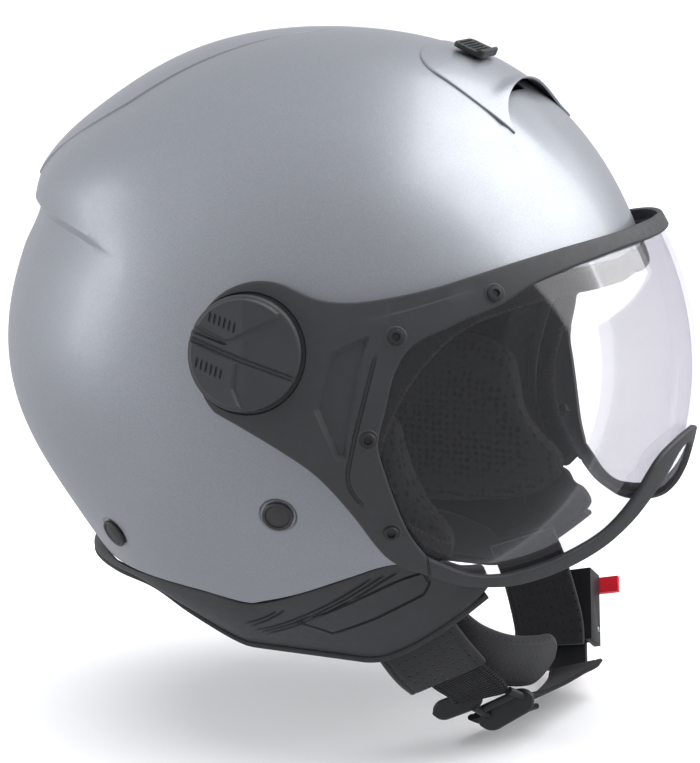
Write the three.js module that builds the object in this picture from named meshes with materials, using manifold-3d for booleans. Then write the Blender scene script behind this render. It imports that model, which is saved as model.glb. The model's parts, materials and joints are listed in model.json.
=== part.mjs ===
// Open face motorcycle helmet, size M. Millimetres.
// +X is forward, +Y is the wearer's left, +Z is up. The helmet is symmetric about Y = 0,
// apart from the chin strap, whose ratchet buckle is on the wearer's left.
// The origin is the middle of the helmet's bounding box.
import * as THREE from 'three';
import { mergeVertices } from 'three/addons/utils/BufferGeometryUtils.js';
import Module from 'manifold-3d';

const wasm = await Module();
wasm.setup();

// ---------------------------------------------------------------- driving dimensions
const ORIGIN = new THREE.Vector3(14.56, 0, -3.26); // middle of the bounding box, from the pole axis

// Outer form of the shell: profile radius in the XZ plane every 30 degrees from straight
// ahead (up over the crown, down the back), half width, and how square its sections are.
const SHELL = {
  radii: [139, 142, 143, 137, 137, 131, 127, 113, 115, 115, 120, 130], half: 121, power: 2.05 };
const SHELL_WALL = 3;
const EPS_GAP = 0.5;
const EPS_DEPTH = 27; // shell surface to the inside of the foam
const LINER_GAP = 0.6;
const LINER_WALL = 7;
const CROWN_SEAT = { radius: 14, height: 103 }; // flat middle of the lining, on top of the head

// Visor: outer face of the lens, with profile radius reach + lift * sin - curl * sin squared.
const VISOR = { reach: 154.6, lift: 2, curl: 22, half: 126, power: 2.04 };
const LENS_WALL = 2;
const FRAME_GAP = 0.3;
const FRAME_WALL = 2.2;

// Visor pivots. Distances along the pivot axis are from Y = 0.
const PIVOT = { x: 23.8, z: 28.2 };
const PIVOT_COVER_RADIUS = 21.5;
const PIVOT_BOSS_RADIUS = 8.5;
const PIVOT_BOSS_FACE = 120.6; // the arm's inner bearing face
const PIVOT_WEB = 3.2; // thickness of the arm under the screw's head
const PIVOT_BUSH_FOOT = 104;
const PIVOT_SCREW = { radius: 2.1, hole: 2.7, head: 5.5, recess: 6.2, foot: 99 };
const ARM_DISC_RADIUS = 24;
const CLEAR = 0.35;

// Strap anchors.
const ANCHOR_DEPTH = -8.5; // webbing below the shell's surface
const RIVET = { shank: 2.7, hole: 3.2, head: 5.8, washer: 7, pocket: 12 };

const WEBBING = { width: 24, thick: 1.8 };
const SLEEVE = { right: 34, left: 28, wall: 3.4, lift: -3.6 }; // widths, thickness, offset from the webbing

// Side-view outlines, as [x, z].
const BROW_TO_CHEEK = [[150, 54], [131, 52], [111, 43], [89, 27], [74, 6], [67, -18], [73, -38], [86, -55]];
const SHELL_HEM = [[86, -55], [66, -55.5], [52, -60.6], [32, -69], [16, -74.4], [7.6, -76], [-10, -72],
  [-31, -70], [-61, -69], [-100, -66], [-150, -64]];
const LENS_WINDOW_TOP = [[170, 62], [141.5, 60.4], [132, 58.4], [116, 52], [106, 45]];
const LENS_WINDOW_SIDE = [[106, 45], [92.6, 38.8], [80.3, 31.8], [75.2, 22], [73, 10], [70.6, -3], [73, -15],
  [78.7, -36.5], [83.6, -47.2]];
const LENS_WINDOW_FOOT = [[83.6, -47.2], [88.2, -50.8], [95.3, -55], [102.8, -56.8], [109.7, -57.2],
  [117.4, -56.3], [126, -53.2], [134, -48.4], [140.5, -41.7], [146.2, -32.6], [151.4, -21.5], [155.5, -9],
  [170, 32]];
const ARM_TOP = [[170, 67], [138.4, 66.3], [132.7, 65.2], [121, 62.7], [107.8, 59], [96.5, 55.3],
  [84.8, 51.6], [72.3, 48.7], [59.3, 46.8], [48, 47.5], [38, 51]];
const ARM_FOOT = [[14, 7], [26.6, 3], [44.7, -7.2], [55, -14.4], [61.6, -20], [66, -29.7], [69.2, -42],
  [71.9, -47.8], [75.5, -51], [83, -54.8]];
const TRIM_FOOT = [[83, -54.8], [90, -59.2], [98.5, -61.8], [104, -62.5], [113, -62.4], [118, -61.3],
  [126, -58.4], [134, -53.6], [140, -47], [145.3, -40.2], [149.4, -33], [152.7, -26.4], [155.5, -20],
  [170, 10]];
// Hidden edge of the lens behind the frame, and its lower edge behind the trim.
const LENS_EDGE_REAR = [[141, 64], [131, 62], [116, 57], [104, 53.2], [88, 46], [72, 40], [64, 24], [62, 0],
  [65.5, -22], [71, -41], [77, -50.5]];
const LENS_EDGE_FOOT = [[84, -53.6], [90, -57.8], [98.5, -60.4], [104, -61.1], [113, -61], [118, -59.9],
  [126, -57], [134, -52.2], [140, -45.6], [145.3, -38.8], [149.4, -31.6], [152.7, -25], [155.2, -18],
  [170, 14]];

const LENS_SCREWS = [[103.3, 48.6], [74.8, 35], [67.3, -1.1], [73.2, -36.1]];
const STRAP_RIVETS = [{ name: 'front', x: 31.1, z: -33.9 }, { name: 'rear', x: -45.3, z: -52.6 }];

// ---------------------------------------------------------------- materials
function finish(color, roughness, metalness = 0) {
  return new THREE.MeshStandardMaterial({ color, roughness, metalness, flatShading: true });
}
const silverPaint = finish(0x9fa3aa, 0.32, 0.55);
const charcoalPlastic = finish(0x3f4144, 0.6);
const blackPlastic = finish(0x1d1e20, 0.5);
const blackRubber = finish(0x222325, 0.8);
const darkFoam = finish(0x2b2c2e, 0.95);
const blackFabric = finish(0x1f2022, 0.95);
const greyLining = finish(0x2f3133, 0.9);
const suede = finish(0x36373a, 0.95);
const clearLens = new THREE.MeshStandardMaterial({
  color: 0xe9e6f2, roughness: 0.05, metalness: 0, transparent: true, opacity: 0.25 });
const steel = finish(0x8d9095, 0.35, 0.9);
const redPlastic = finish(0xc8102a, 0.4);

// ---------------------------------------------------------------- solids
const root = new THREE.Group();
root.position.copy(ORIGIN).negate();

function add(name, geometry, material, parent = root) {
  const mesh = new THREE.Mesh(geometry, material);
  mesh.name = name;
  parent.add(mesh);
  return mesh;
}

function toManifold(geometry) {
  const bare = geometry.clone();
  bare.deleteAttribute('normal');
  bare.deleteAttribute('uv');
  const welded = mergeVertices(bare, 1e-4);
  return new wasm.Manifold(new wasm.Mesh({
    numProp: 3,
    vertProperties: Float32Array.from(welded.attributes.position.array),
    triVerts: Uint32Array.from(welded.index.array),
  }));
}

function toGeometry(manifold) {
  const mesh = manifold.getMesh();
  const geometry = new THREE.BufferGeometry();
  geometry.setAttribute('position', new THREE.BufferAttribute(mesh.vertProperties, 3));
  geometry.setIndex(new THREE.BufferAttribute(mesh.triVerts, 1));
  geometry.computeVertexNormals();
  return geometry;
}

function cutAll(solid, cutters) {
  return cutters.reduce((left, cutter) => left.subtract(cutter), solid);
}

function signedVolume(points, index) {
  let sum = 0;
  for (let i = 0; i < index.length; i += 3) {
    const [a, b, c] = [points[index[i]], points[index[i + 1]], points[index[i + 2]]];
    sum += a.dot(new THREE.Vector3().crossVectors(b, c));
  }
  return sum / 6;
}

// Skin over a row of rings with equal counts. Open rows are closed by a fan at each end.
function skin(rings) {
  const points = rings.flat();
  const count = rings[0].length;
  const index = [];
  for (let row = 0; row + 1 < rings.length; row += 1) {
    for (let i = 0; i < count; i += 1) {
      const next = (i + 1) % count;
      const [a, b] = [row * count + i, row * count + next];
      index.push(a, b, b + count, a, b + count, a + count);
    }
  }
  for (const row of [0, rings.length - 1]) {
    const middle = rings[row].reduce((sum, p) => sum.add(p), new THREE.Vector3()).divideScalar(count);
    const centre = points.push(middle) - 1;
    for (let i = 0; i < count; i += 1) {
      const [a, b] = [row * count + i, row * count + ((i + 1) % count)];
      index.push(...(row === 0 ? [centre, b, a] : [centre, a, b]));
    }
  }
  if (signedVolume(points, index) < 0) {
    index.reverse();
  }
  const geometry = new THREE.BufferGeometry().setFromPoints(points);
  geometry.setIndex(index);
  return geometry;
}

// ---------------------------------------------------------------- the rounded forms
// Smooth periodic curve through evenly spaced radii (trigonometric interpolation).
function harmonicRadius(radii, angle) {
  const count = radii.length;
  let sum = 0;
  radii.forEach((radius, k) => {
    const x = angle - (2 * Math.PI * k) / count;
    const near = Math.abs(Math.sin(x / 2)) < 1e-9;
    sum += near ? radius * count : (radius * Math.sin((count * x) / 2)) / Math.tan(x / 2);
  });
  return sum / count;
}

function profileRadius(form, angle) {
  if (form.radii) {
    return harmonicRadius(form.radii, angle);
  }
  const rise = Math.sin(angle);
  return form.reach + form.lift * rise - form.curl * rise * rise;
}

// A point of the form: angle runs round the Y axis, tilt runs from -90 to 90 degrees out to +Y.
function onForm(form, angle, tilt) {
  const across = Math.cos(tilt) / profileRadius(form, angle);
  const out = Math.abs(Math.sin(tilt)) / form.half;
  const r = (across ** form.power + out ** form.power) ** (-1 / form.power);
  return new THREE.Vector3(
    r * Math.cos(tilt) * Math.cos(angle), r * Math.sin(tilt), r * Math.cos(tilt) * Math.sin(angle));
}

// How far out a point is: 0 on the form, negative inside.
function level(form, p) {
  const rho = Math.hypot(p.x, p.z) / profileRadius(form, Math.atan2(p.z, p.x));
  return rho ** form.power + (Math.abs(p.y) / form.half) ** form.power - 1;
}

function normalAt(form, p) {
  const step = 0.2;
  const slope = (axis) => {
    const ahead = p.clone();
    const behind = p.clone();
    ahead[axis] += step;
    behind[axis] -= step;
    return level(form, ahead) - level(form, behind);
  };
  return new THREE.Vector3(slope('x'), slope('y'), slope('z')).normalize();
}

// The point of the form seen at [x, z] from the side, on the +Y or -Y side.
function fromSide(form, x, z, side, offset = 0) {
  const rho = Math.hypot(x, z) / profileRadius(form, Math.atan2(z, x));
  const y = side * form.half * (1 - rho ** form.power) ** (1 / form.power);
  const p = new THREE.Vector3(x, y, z);
  return p.addScaledVector(normalAt(form, p), offset);
}

// Facets round and across; the hidden layers use every second line of the shell's grid.
const FINE = [32, 16];
const COARSE = [16, 8];

function formSolid(form, offset, around = FINE[0], across = FINE[1]) {
  const rings = [];
  for (let j = 1; j < across; j += 1) {
    const tilt = ((j / across) - 0.5) * Math.PI;
    const ring = [];
    for (let i = 0; i < around; i += 1) {
      const p = onForm(form, (2 * Math.PI * i) / around, tilt);
      ring.push(p.addScaledVector(normalAt(form, p), offset));
    }
    rings.push(ring);
  }
  return toManifold(skin(rings));
}

function formSlab(form, outer, inner, around, across) {
  return formSolid(form, outer, around, across).subtract(formSolid(form, inner, around, across));
}

// ---------------------------------------------------------------- outlines and prisms
function smooth(points, count = 3 * points.length) {
  return new THREE.SplineCurve(points.map(([x, z]) => new THREE.Vector2(x, z))).getPoints(count);
}

function pair([x, z]) {
  return new THREE.Vector2(x, z);
}

// A prism with the given XZ outline, from Y = low to Y = high.
function sidePrism(outline, low = -200, high = 200) {
  const shape = new THREE.Shape(outline);
  const geometry = new THREE.ExtrudeGeometry(shape, { depth: high - low, bevelEnabled: false });
  geometry.rotateX(Math.PI / 2);
  geometry.translate(0, high, 0);
  return toManifold(geometry);
}

// A prism with the given XY outline, from Z = low to Z = high.
function topPrism(outline, low, high) {
  const shape = new THREE.Shape(outline.map(pair));
  const geometry = new THREE.ExtrudeGeometry(shape, { depth: high - low, bevelEnabled: false });
  geometry.translate(0, 0, low);
  return toManifold(geometry);
}

function lathe(profile, segments = 16) {
  return new THREE.LatheGeometry(profile.map(pair), segments);
}

// Moves a geometry built along +Y to a point, with +Y turned to the given direction.
function place(geometry, point, direction) {
  const turn = new THREE.Quaternion().setFromUnitVectors(new THREE.Vector3(0, 1, 0), direction);
  return geometry.applyQuaternion(turn).translate(point.x, point.y, point.z);
}

function rod(radius, from, to, point, direction, segments = 16) {
  const geometry = new THREE.CylinderGeometry(radius, radius, to - from, segments);
  geometry.translate(0, (from + to) / 2, 0);
  return toManifold(place(geometry, point, direction));
}

function curveOf(points) {
  return new THREE.CatmullRomCurve3(points.map((p) => (p.isVector3 ? p : new THREE.Vector3(...p))));
}

// A flat strap: rectangular section swept along a curve, with its width direction given at
// the same stations as the curve's points.
function strap(points, widths, width, thick, lift = 0, steps = 8) {
  const path = curveOf(points);
  const lean = curveOf(widths);
  const rings = [];
  for (let i = 0; i <= steps; i += 1) {
    const t = i / steps;
    const along = path.getTangent(t);
    const across = lean.getPoint(t);
    across.addScaledVector(along, -across.dot(along)).normalize();
    const face = new THREE.Vector3().crossVectors(across, along).normalize();
    const middle = path.getPoint(t).addScaledVector(face, lift);
    const corner = (u, v) => middle.clone().addScaledVector(across, (u * width) / 2)
      .addScaledVector(face, (v * thick) / 2);
    rings.push([corner(-1, -1), corner(1, -1), corner(1, 1), corner(-1, 1)]);
  }
  return skin(rings);
}

const SIDES = [{ name: 'right', sign: -1 }, { name: 'left', sign: 1 }];

// ---------------------------------------------------------------- cutters shared by pieces
const hem = smooth(SHELL_HEM, 30);

// Height of the shell's hem at a given x.
function hemHeight(x) {
  for (let i = 0; i + 1 < hem.length; i += 1) {
    const [a, b] = [hem[i], hem[i + 1]];
    if (x <= a.x && x >= b.x) {
      return a.y + ((b.y - a.y) * (x - a.x)) / (b.x - a.x);
    }
  }
  return hem[0].y;
}

const faceEdge = smooth(BROW_TO_CHEEK, 24);
const faceCutter = sidePrism([...faceEdge, pair([86, -130]), pair([200, -130]), pair([200, 54])]);
const hemCutter = sidePrism([...hem, pair([-150, -200]), pair([200, -200]), pair([200, -55])]);

function rivetSeat(rivet, side) {
  const point = fromSide(SHELL, rivet.x, rivet.z, side);
  return { point, normal: normalAt(SHELL, point) };
}

const VENT_ANGLE = THREE.MathUtils.degToRad(56);
const ventPoint = onForm(SHELL, VENT_ANGLE, 0);
const ventNormal = normalAt(SHELL, ventPoint);
const VENT_SLOT = { length: 26, height: 9 };

// Moves a geometry built flat, with +X forward and +Z up, onto the crown.
function onCrown(geometry, point, normal) {
  geometry.rotateY(Math.atan2(normal.x, normal.z));
  return geometry.translate(point.x, point.y, point.z);
}

function ventSlot(grow) {
  const box = new THREE.BoxGeometry(VENT_SLOT.height + grow, VENT_SLOT.length + grow, 90);
  return toManifold(onCrown(box, ventPoint, ventNormal));
}

const bushHoles = SIDES.map(({ sign }) => rod(PIVOT_BOSS_RADIUS + CLEAR, 80, 150,
  new THREE.Vector3(PIVOT.x, 0, PIVOT.z), new THREE.Vector3(0, sign, 0)));

const rivetHoles = [];
const rivetPockets = [];
for (const { sign } of SIDES) {
  for (const rivet of STRAP_RIVETS) {
    const { point, normal } = rivetSeat(rivet, sign);
    rivetHoles.push(rod(RIVET.hole, -20, 20, point, normal, 10));
    rivetPockets.push(rod(RIVET.pocket, -14, 0, point, normal, 12));
  }
}

// ---------------------------------------------------------------- shell, foam and lining
function makeShell() {
  const slab = formSlab(SHELL, 0, -SHELL_WALL);
  const solid = cutAll(slab, [faceCutter, hemCutter, ventSlot(0), ...bushHoles, ...rivetHoles]);
  add('outer_shell', toGeometry(solid), silverPaint);
}

const PAD_OUTLINE = [[82, -46], [77, -55], [60, -60], [20, -64], [-5, -60], [-12, -40], [0, -8], [30, 4],
  [58, -2], [64, -20], [70, -34]];
const PAD_POCKET = [[90, -40], [84, -66], [60, -70], [20, -74], [-9, -68], [-18, -40], [-4, -4], [30, 9],
  [62, 3], [70, -16], [80, -30]];
const PAD_INNER = 60;
const PAD_OUTER = 76;

function closedSmooth(points, count) {
  const curve = new THREE.CatmullRomCurve3(points.map(([x, z]) => new THREE.Vector3(x, z, 0)), true);
  return curve.getPoints(count).slice(0, -1).map((p) => new THREE.Vector2(p.x, p.y));
}

// Hidden webbing from the two rivets of one side to the flex line under the cheek.
function anchorLegs(side) {
  const legs = [
    { rivet: STRAP_RIVETS[0], way: [[44, 90.5, -56], [53, 82.5, -68.5], [60, 70.5, -76.5]] },
    { rivet: STRAP_RIVETS[1], way: [[-22, 82, -62], [10, 80.5, -70], [38, 78, -74], [56, 70.5, -77.5]] },
  ];
  return legs.map(({ rivet, way }) => {
    const start = fromSide(SHELL, rivet.x, rivet.z, side, ANCHOR_DEPTH);
    const points = [start, ...way.map(([x, y, z]) => new THREE.Vector3(x, side * y, z)),
      new THREE.Vector3(62.5, side * 65, -79.5)];
    const path = curveOf(points);
    const widths = points.map((p, i) => {
      const along = path.getTangent(i / (points.length - 1));
      return new THREE.Vector3().crossVectors(normalAt(SHELL, p), along);
    });
    return { points, widths };
  });
}

function makeFoam() {
  const slab = formSlab(SHELL, -SHELL_WALL - EPS_GAP, -EPS_DEPTH, ...COARSE);
  const facePoints = faceEdge.map((p) => new THREE.Vector2(p.x - 3, p.y + 1.5));
  const face = sidePrism([...facePoints, pair([83, -130]), pair([200, -130]), pair([200, 56])]);
  const foot = sidePrism([pair([200, -54]), pair([60, -54]), pair([20, -62]), pair([-150, -60]),
    pair([-150, -200]), pair([200, -200])]);
  const pads = sidePrism(closedSmooth(PAD_POCKET, 22), -PAD_OUTER - 1.5, PAD_OUTER + 1.5);
  const legs = SIDES.flatMap(({ sign }) => anchorLegs(sign)
    .map((leg) => toManifold(strap(leg.points, leg.widths, WEBBING.width, 6))));
  const solid = cutAll(slab, [face, foot, pads, ventSlot(4), ...bushHoles, ...rivetPockets, ...legs]);
  add('eps_liner', toGeometry(solid), darkFoam);
}

function makeLining() {
  const outer = -EPS_DEPTH - LINER_GAP;
  const crown = formSlab(SHELL, outer, outer - LINER_WALL, ...COARSE);
  const underBrow = sidePrism([pair([200, 52]), pair([60, 44]), pair([20, 14]), pair([-60, 8]),
    pair([-150, 8]), pair([-150, -200]), pair([200, -200])]);
  const up = new THREE.Vector3(0, 0, 1);
  const seat = rod(CROWN_SEAT.radius, 0, CROWN_SEAT.height, new THREE.Vector3(), up, 20);
  add('crown_liner', toGeometry(crown.subtract(underBrow).subtract(seat)), greyLining);
  const nape = formSlab(SHELL, outer, outer - LINER_WALL - 5, ...COARSE);
  const napeRegion = sidePrism([pair([-22, -24]), pair([-150, -24]), pair([-150, -62]), pair([-22, -62])]);
  const pads = sidePrism(closedSmooth(PAD_POCKET, 22), -110, 110);
  add('neck_roll', toGeometry(nape.intersect(napeRegion).subtract(pads)), blackFabric);
}

function makeCheekPads() {
  const bevel = 5;
  for (const { name, sign } of SIDES) {
    const shape = new THREE.Shape(closedSmooth(PAD_OUTLINE, 22));
    const geometry = new THREE.ExtrudeGeometry(shape, {
      depth: PAD_OUTER - PAD_INNER - 2 * bevel, bevelThickness: bevel, bevelSize: bevel, bevelOffset: -bevel,
      bevelSegments: 2 });
    geometry.rotateX(Math.PI / 2);
    geometry.translate(0, sign * (PAD_OUTER + PAD_INNER) / 2 + (PAD_OUTER - PAD_INNER - 2 * bevel) / 2, 0);
    add(`cheek_pad_${name}`, geometry, blackFabric);
  }
}

// ---------------------------------------------------------------- base moulding round the neck
// Lower edge of the right half, from the front end to the nape.
const BASE_FOOT = [[97, -66, -69], [88, -70, -77], [78, -71, -85], [66, -72, -93], [53, -73, -98],
  [30, -73, -99], [9, -73, -98.8], [-4, -73, -97], [-23, -76, -87], [-39.5, -76, -78], [-60, -69, -75],
  [-78, -52, -74], [-88, -28, -73.5], [-91, 0, -73]];

// The point of the form straight out from the Z axis at a given azimuth and height.
function onFormAt(form, azimuth, height, offset) {
  let low = 0;
  let high = 160;
  const p = new THREE.Vector3();
  for (let i = 0; i < 40; i += 1) {
    const middle = (low + high) / 2;
    p.set(middle * Math.cos(azimuth), middle * Math.sin(azimuth), height);
    if (level(form, p) < 0) {
      low = middle;
    } else {
      high = middle;
    }
  }
  return p.addScaledVector(normalAt(form, p), offset);
}

// The top edge of the base above a point of its foot, just under the shell's hem.
function baseTop([x, y]) {
  const azimuth = Math.atan2(y, x);
  let p = new THREE.Vector3(x, y, 0);
  for (let i = 0; i < 8; i += 1) {
    const height = (p.x > 84 ? -57 : hemHeight(p.x)) - 1.5;
    p = onFormAt(SHELL, azimuth, height, 0);
  }
  return p;
}

function mirrorRow(points) {
  const left = points.slice(0, -1).reverse().map((p) => new THREE.Vector3(p.x, -p.y, p.z));
  return [...points, ...left];
}

const BASE_WALL = 2.6;
const BASE_FLOOR = -98.3; // the foot is flat here, where the helmet rests on a table
const footCurve = new THREE.CatmullRomCurve3(mirrorRow(BASE_FOOT.map((p) => new THREE.Vector3(...p))));
const topCurve = new THREE.CatmullRomCurve3(mirrorRow(BASE_FOOT.map(baseTop)));
const BASE_STATIONS = 36;

function inward(p, distance) {
  const flat = new THREE.Vector3(p.x, p.y, 0).normalize();
  return p.clone().addScaledVector(flat, -distance);
}

function makeBase() {
  const rings = [];
  const lips = [];
  for (let i = 0; i <= BASE_STATIONS; i += 1) {
    const t = i / BASE_STATIONS;
    const top = topCurve.getPoint(t);
    const foot = footCurve.getPoint(t);
    foot.z = Math.max(foot.z, BASE_FLOOR);
    const belly = top.clone().lerp(foot, 0.5).addScaledVector(inward(top, -1).sub(top), 2);
    rings.push([top, belly, foot,
      inward(foot, BASE_WALL), inward(belly, BASE_WALL), inward(top, BASE_WALL + 0.8)]);
    const low = foot.clone().add(new THREE.Vector3(0, 0, -0.6));
    const drop = new THREE.Vector3(0, 0, -2.6);
    const lipOuter = inward(low, -0.6);
    const lipInner = inward(low, 3.4);
    lips.push([lipOuter, lipOuter.clone().add(drop), lipInner.clone().add(drop), lipInner]);
  }
  add('base_moulding', skin(rings), charcoalPlastic);
  add('base_edge_trim', skin(lips), blackRubber);
}

// ---------------------------------------------------------------- rubber trim on the face opening
function makeFaceTrim() {
  const right = [[131, 52], [111, 43], [89, 27], [74, 6], [67, -18], [73, -38]];
  const points = [];
  const edge = smooth(right, 14);
  for (const p of edge) {
    points.push(fromSide(SHELL, p.x, p.y, -1, -SHELL_WALL / 2));
  }
  const brow = new THREE.Vector3(onForm(SHELL, Math.atan2(52.6, 129), 0).x - 0.8, 0, 52.4);
  const row = mirrorRow([...points.reverse(), brow]);
  const curve = new THREE.CatmullRomCurve3(row);
  const rings = [];
  const steps = 36;
  for (let i = 0; i <= steps; i += 1) {
    const p = curve.getPoint(i / steps);
    const along = curve.getTangent(i / steps);
    const normal = normalAt(SHELL, p);
    normal.addScaledVector(along, -normal.dot(along)).normalize();
    const ahead = new THREE.Vector3().crossVectors(along, normal).normalize();
    const middle = p.clone().addScaledVector(ahead, 4.6);
    const corner = (u, v) => middle.clone().addScaledVector(ahead, u * 2.2).addScaledVector(normal, v * 2.4);
    rings.push([corner(-1, -1), corner(1, -0.7), corner(1, 0.7), corner(-1, 1)]);
  }
  add('face_edge_trim', skin(rings), blackRubber);
}

// ---------------------------------------------------------------- top vent
const VENT_OUTLINE = [[53, 0], [54, 30], [60, 36], [78, 40.5], [97, 38], [94, 33], [90, 20], [88, 0],
  [90, -20], [94, -33], [97, -38], [78, -40.5], [60, -36], [54, -30]];
const VENT_RISE = 3.4;
const VENT_MOUTH = [[72, -24], [72, 24], [99, 27], [99, -27]];
const SLIDER = { length: 13, width: 20, thick: 2.4, seat: Math.atan2(127, 72) };
const ventSlider = new THREE.Group();
root.add(ventSlider);

function makeVent() {
  const slab = formSlab(SHELL, VENT_RISE, CLEAR);
  const region = topPrism(VENT_OUTLINE, 60, 180);
  const mouth = formSlab(SHELL, VENT_RISE - 1.4, -1).intersect(topPrism(VENT_MOUTH, 60, 180));
  const cover = slab.intersect(region).subtract(mouth);
  add('vent_cover', toGeometry(cover), silverPaint);
  const seat = onForm(SHELL, SLIDER.seat, 0);
  const normal = normalAt(SHELL, seat);
  const slider = new THREE.BoxGeometry(SLIDER.length, SLIDER.width, SLIDER.thick);
  onCrown(slider, seat.clone().addScaledVector(normal, VENT_RISE + CLEAR + 1.4), normal);
  add('vent_slider', slider, blackPlastic, ventSlider);
}

// ---------------------------------------------------------------- visor
const visor = new THREE.Group();
root.add(visor);
const AROUND = 36;
const ACROSS = 20;

function circle(x, z, radius, count = 24) {
  const ring = [];
  for (let i = 0; i < count; i += 1) {
    const angle = (2 * Math.PI * i) / count;
    ring.push(pair([x + radius * Math.cos(angle), z + radius * Math.sin(angle)]));
  }
  return ring;
}

function screwAxis([x, z], side) {
  const point = fromSide(VISOR, x, z, side);
  return { point, normal: normalAt(VISOR, point) };
}

function lensHoles(radius) {
  return SIDES.flatMap(({ sign }) => LENS_SCREWS.map((seat) => {
    const { point, normal } = screwAxis(seat, sign);
    return rod(radius, -12, 12, point, normal, 8);
  }));
}

function makeVisorPanels() {
  const holes = lensHoles(1.7);
  const window = sidePrism([...smooth(LENS_WINDOW_TOP, 8), ...smooth(LENS_WINDOW_SIDE, 14).slice(1),
    ...smooth(LENS_WINDOW_FOOT, 24).slice(1)]);
  const frameSlab = formSlab(VISOR, FRAME_GAP + FRAME_WALL, FRAME_GAP, AROUND, ACROSS);
  const armEdge = [...smooth(ARM_TOP, 16), ...smooth(ARM_FOOT, 16)];
  const armPrism = sidePrism([...armEdge, pair([83, -46]), pair([170, 35])]);
  const disc = sidePrism(circle(PIVOT.x, PIVOT.z, ARM_DISC_RADIUS));
  const behind = PIVOT.x - 40;
  const ahead = sidePrism([pair([behind, -80]), pair([200, -80]), pair([200, 90]), pair([behind, 90])]);
  let frame = frameSlab.intersect(armPrism.subtract(window).add(disc)).intersect(ahead);
  for (const { sign } of SIDES) {
    const centre = new THREE.Vector3(PIVOT.x, 0, PIVOT.z);
    const outward = new THREE.Vector3(0, sign, 0);
    const seat = PIVOT_BOSS_FACE + PIVOT_WEB;
    frame = frame.add(rod(PIVOT_BOSS_RADIUS, PIVOT_BOSS_FACE - 1, seat, centre, outward));
    frame = frame.subtract(rod(PIVOT_BOSS_RADIUS + 0.4, 90, PIVOT_BOSS_FACE, centre, outward));
    frame = frame.subtract(rod(PIVOT_SCREW.hole, 90, 150, centre, outward, 12));
    frame = frame.subtract(rod(PIVOT_SCREW.recess, seat, 150, centre, outward));
  }
  add('visor_frame', toGeometry(cutAll(frame, holes)), charcoalPlastic, visor);

  const lensEdge = [pair([170, 65]), ...smooth(LENS_EDGE_REAR, 20), ...smooth(LENS_EDGE_FOOT, 24)];
  const lens = formSlab(VISOR, 0, -LENS_WALL, AROUND, ACROSS).intersect(sidePrism(lensEdge));
  add('visor_lens', toGeometry(cutAll(lens, holes)), clearLens, visor);

  const trimOutline = [...smooth(LENS_WINDOW_FOOT, 24), ...smooth(TRIM_FOOT, 22).reverse()];
  const split = sidePrism([pair([83.4, -80]), pair([200, -80]), pair([200, 60]), pair([83.4, 60])]);
  const trim = frameSlab.intersect(sidePrism(trimOutline)).intersect(split);
  add('visor_lower_trim', toGeometry(trim), charcoalPlastic, visor);
}

// Profiles are [radius, height over the lens's outer face].
function makeVisorFasteners() {
  const top = FRAME_GAP + FRAME_WALL + CLEAR;
  const foot = CLEAR - LENS_WALL - 2.2;
  const face = -LENS_WALL - 1.1;
  const back = face - 1.2;
  const screwProfile = [[0, foot], [1.2, foot], [1.2, top], [2.8, top], [2.8, top + 0.8], [2, top + 1.4],
    [0, top + 1.4]];
  const nutProfile = [[1.6, face], [1.6, back], [3, back], [3, face], [1.6, face]];
  for (const { name, sign } of SIDES) {
    LENS_SCREWS.forEach((seat, i) => {
      const { point, normal } = screwAxis(seat, sign);
      const screw = place(lathe(screwProfile, 10), point, normal);
      add(`lens_screw_${name}_${i + 1}`, screw, blackPlastic, visor);
      const nut = place(lathe(nutProfile, 8), point, normal);
      add(`lens_nut_${name}_${i + 1}`, nut, blackPlastic, visor);
    });
  }
}

// Profiles are [radius, distance from Y = 0 along the pivot axis].
function makePivots() {
  const { radius, head, foot } = PIVOT_SCREW;
  const bore = radius + 0.5;
  const bushTop = PIVOT_BOSS_FACE - CLEAR;
  const bushProfile = [[bore, PIVOT_BUSH_FOOT], [PIVOT_BOSS_RADIUS, PIVOT_BUSH_FOOT],
    [PIVOT_BOSS_RADIUS, bushTop], [bore, bushTop], [bore, PIVOT_BUSH_FOOT]];
  const under = PIVOT_BOSS_FACE + PIVOT_WEB + CLEAR;
  const screwProfile = [[0, foot], [radius, foot], [radius, under], [head, under], [head, under + 1.6],
    [0, under + 1.6]];
  const nutTop = PIVOT_BUSH_FOOT - 0.4;
  const nutFoot = foot + 1.5;
  const nutProfile = [[bore, nutFoot], [7, nutFoot], [7, nutTop], [bore, nutTop], [bore, nutFoot]];
  for (const { name, sign } of SIDES) {
    const outward = new THREE.Vector3(0, sign, 0);
    const centre = new THREE.Vector3(PIVOT.x, 0, PIVOT.z);
    add(`pivot_bush_${name}`, place(lathe(bushProfile), centre, outward), blackPlastic);
    add(`pivot_screw_${name}`, place(lathe(screwProfile), centre, outward), steel);
    add(`pivot_nut_${name}`, place(lathe(nutProfile, 12), centre, outward), steel);
    makePivotCover(name, sign);
  }
}

function makePivotCover(name, sign) {
  const point = fromSide(VISOR, PIVOT.x, PIVOT.z, sign);
  const normal = normalAt(VISOR, point);
  const base = FRAME_GAP + FRAME_WALL + CLEAR;
  const r = PIVOT_COVER_RADIUS;
  const cap = lathe([[0, base + 4.4], [8, base + 4.2], [r - 4, base + 2.6], [r - 2, base], [r, base],
    [r, base + 2], [r - 1.4, base + 4], [r - 8, base + 6.6], [0, base + 7.6]], 24);
  add(`pivot_cover_${name}`, place(cap, point, normal), charcoalPlastic, visor);
}

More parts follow.
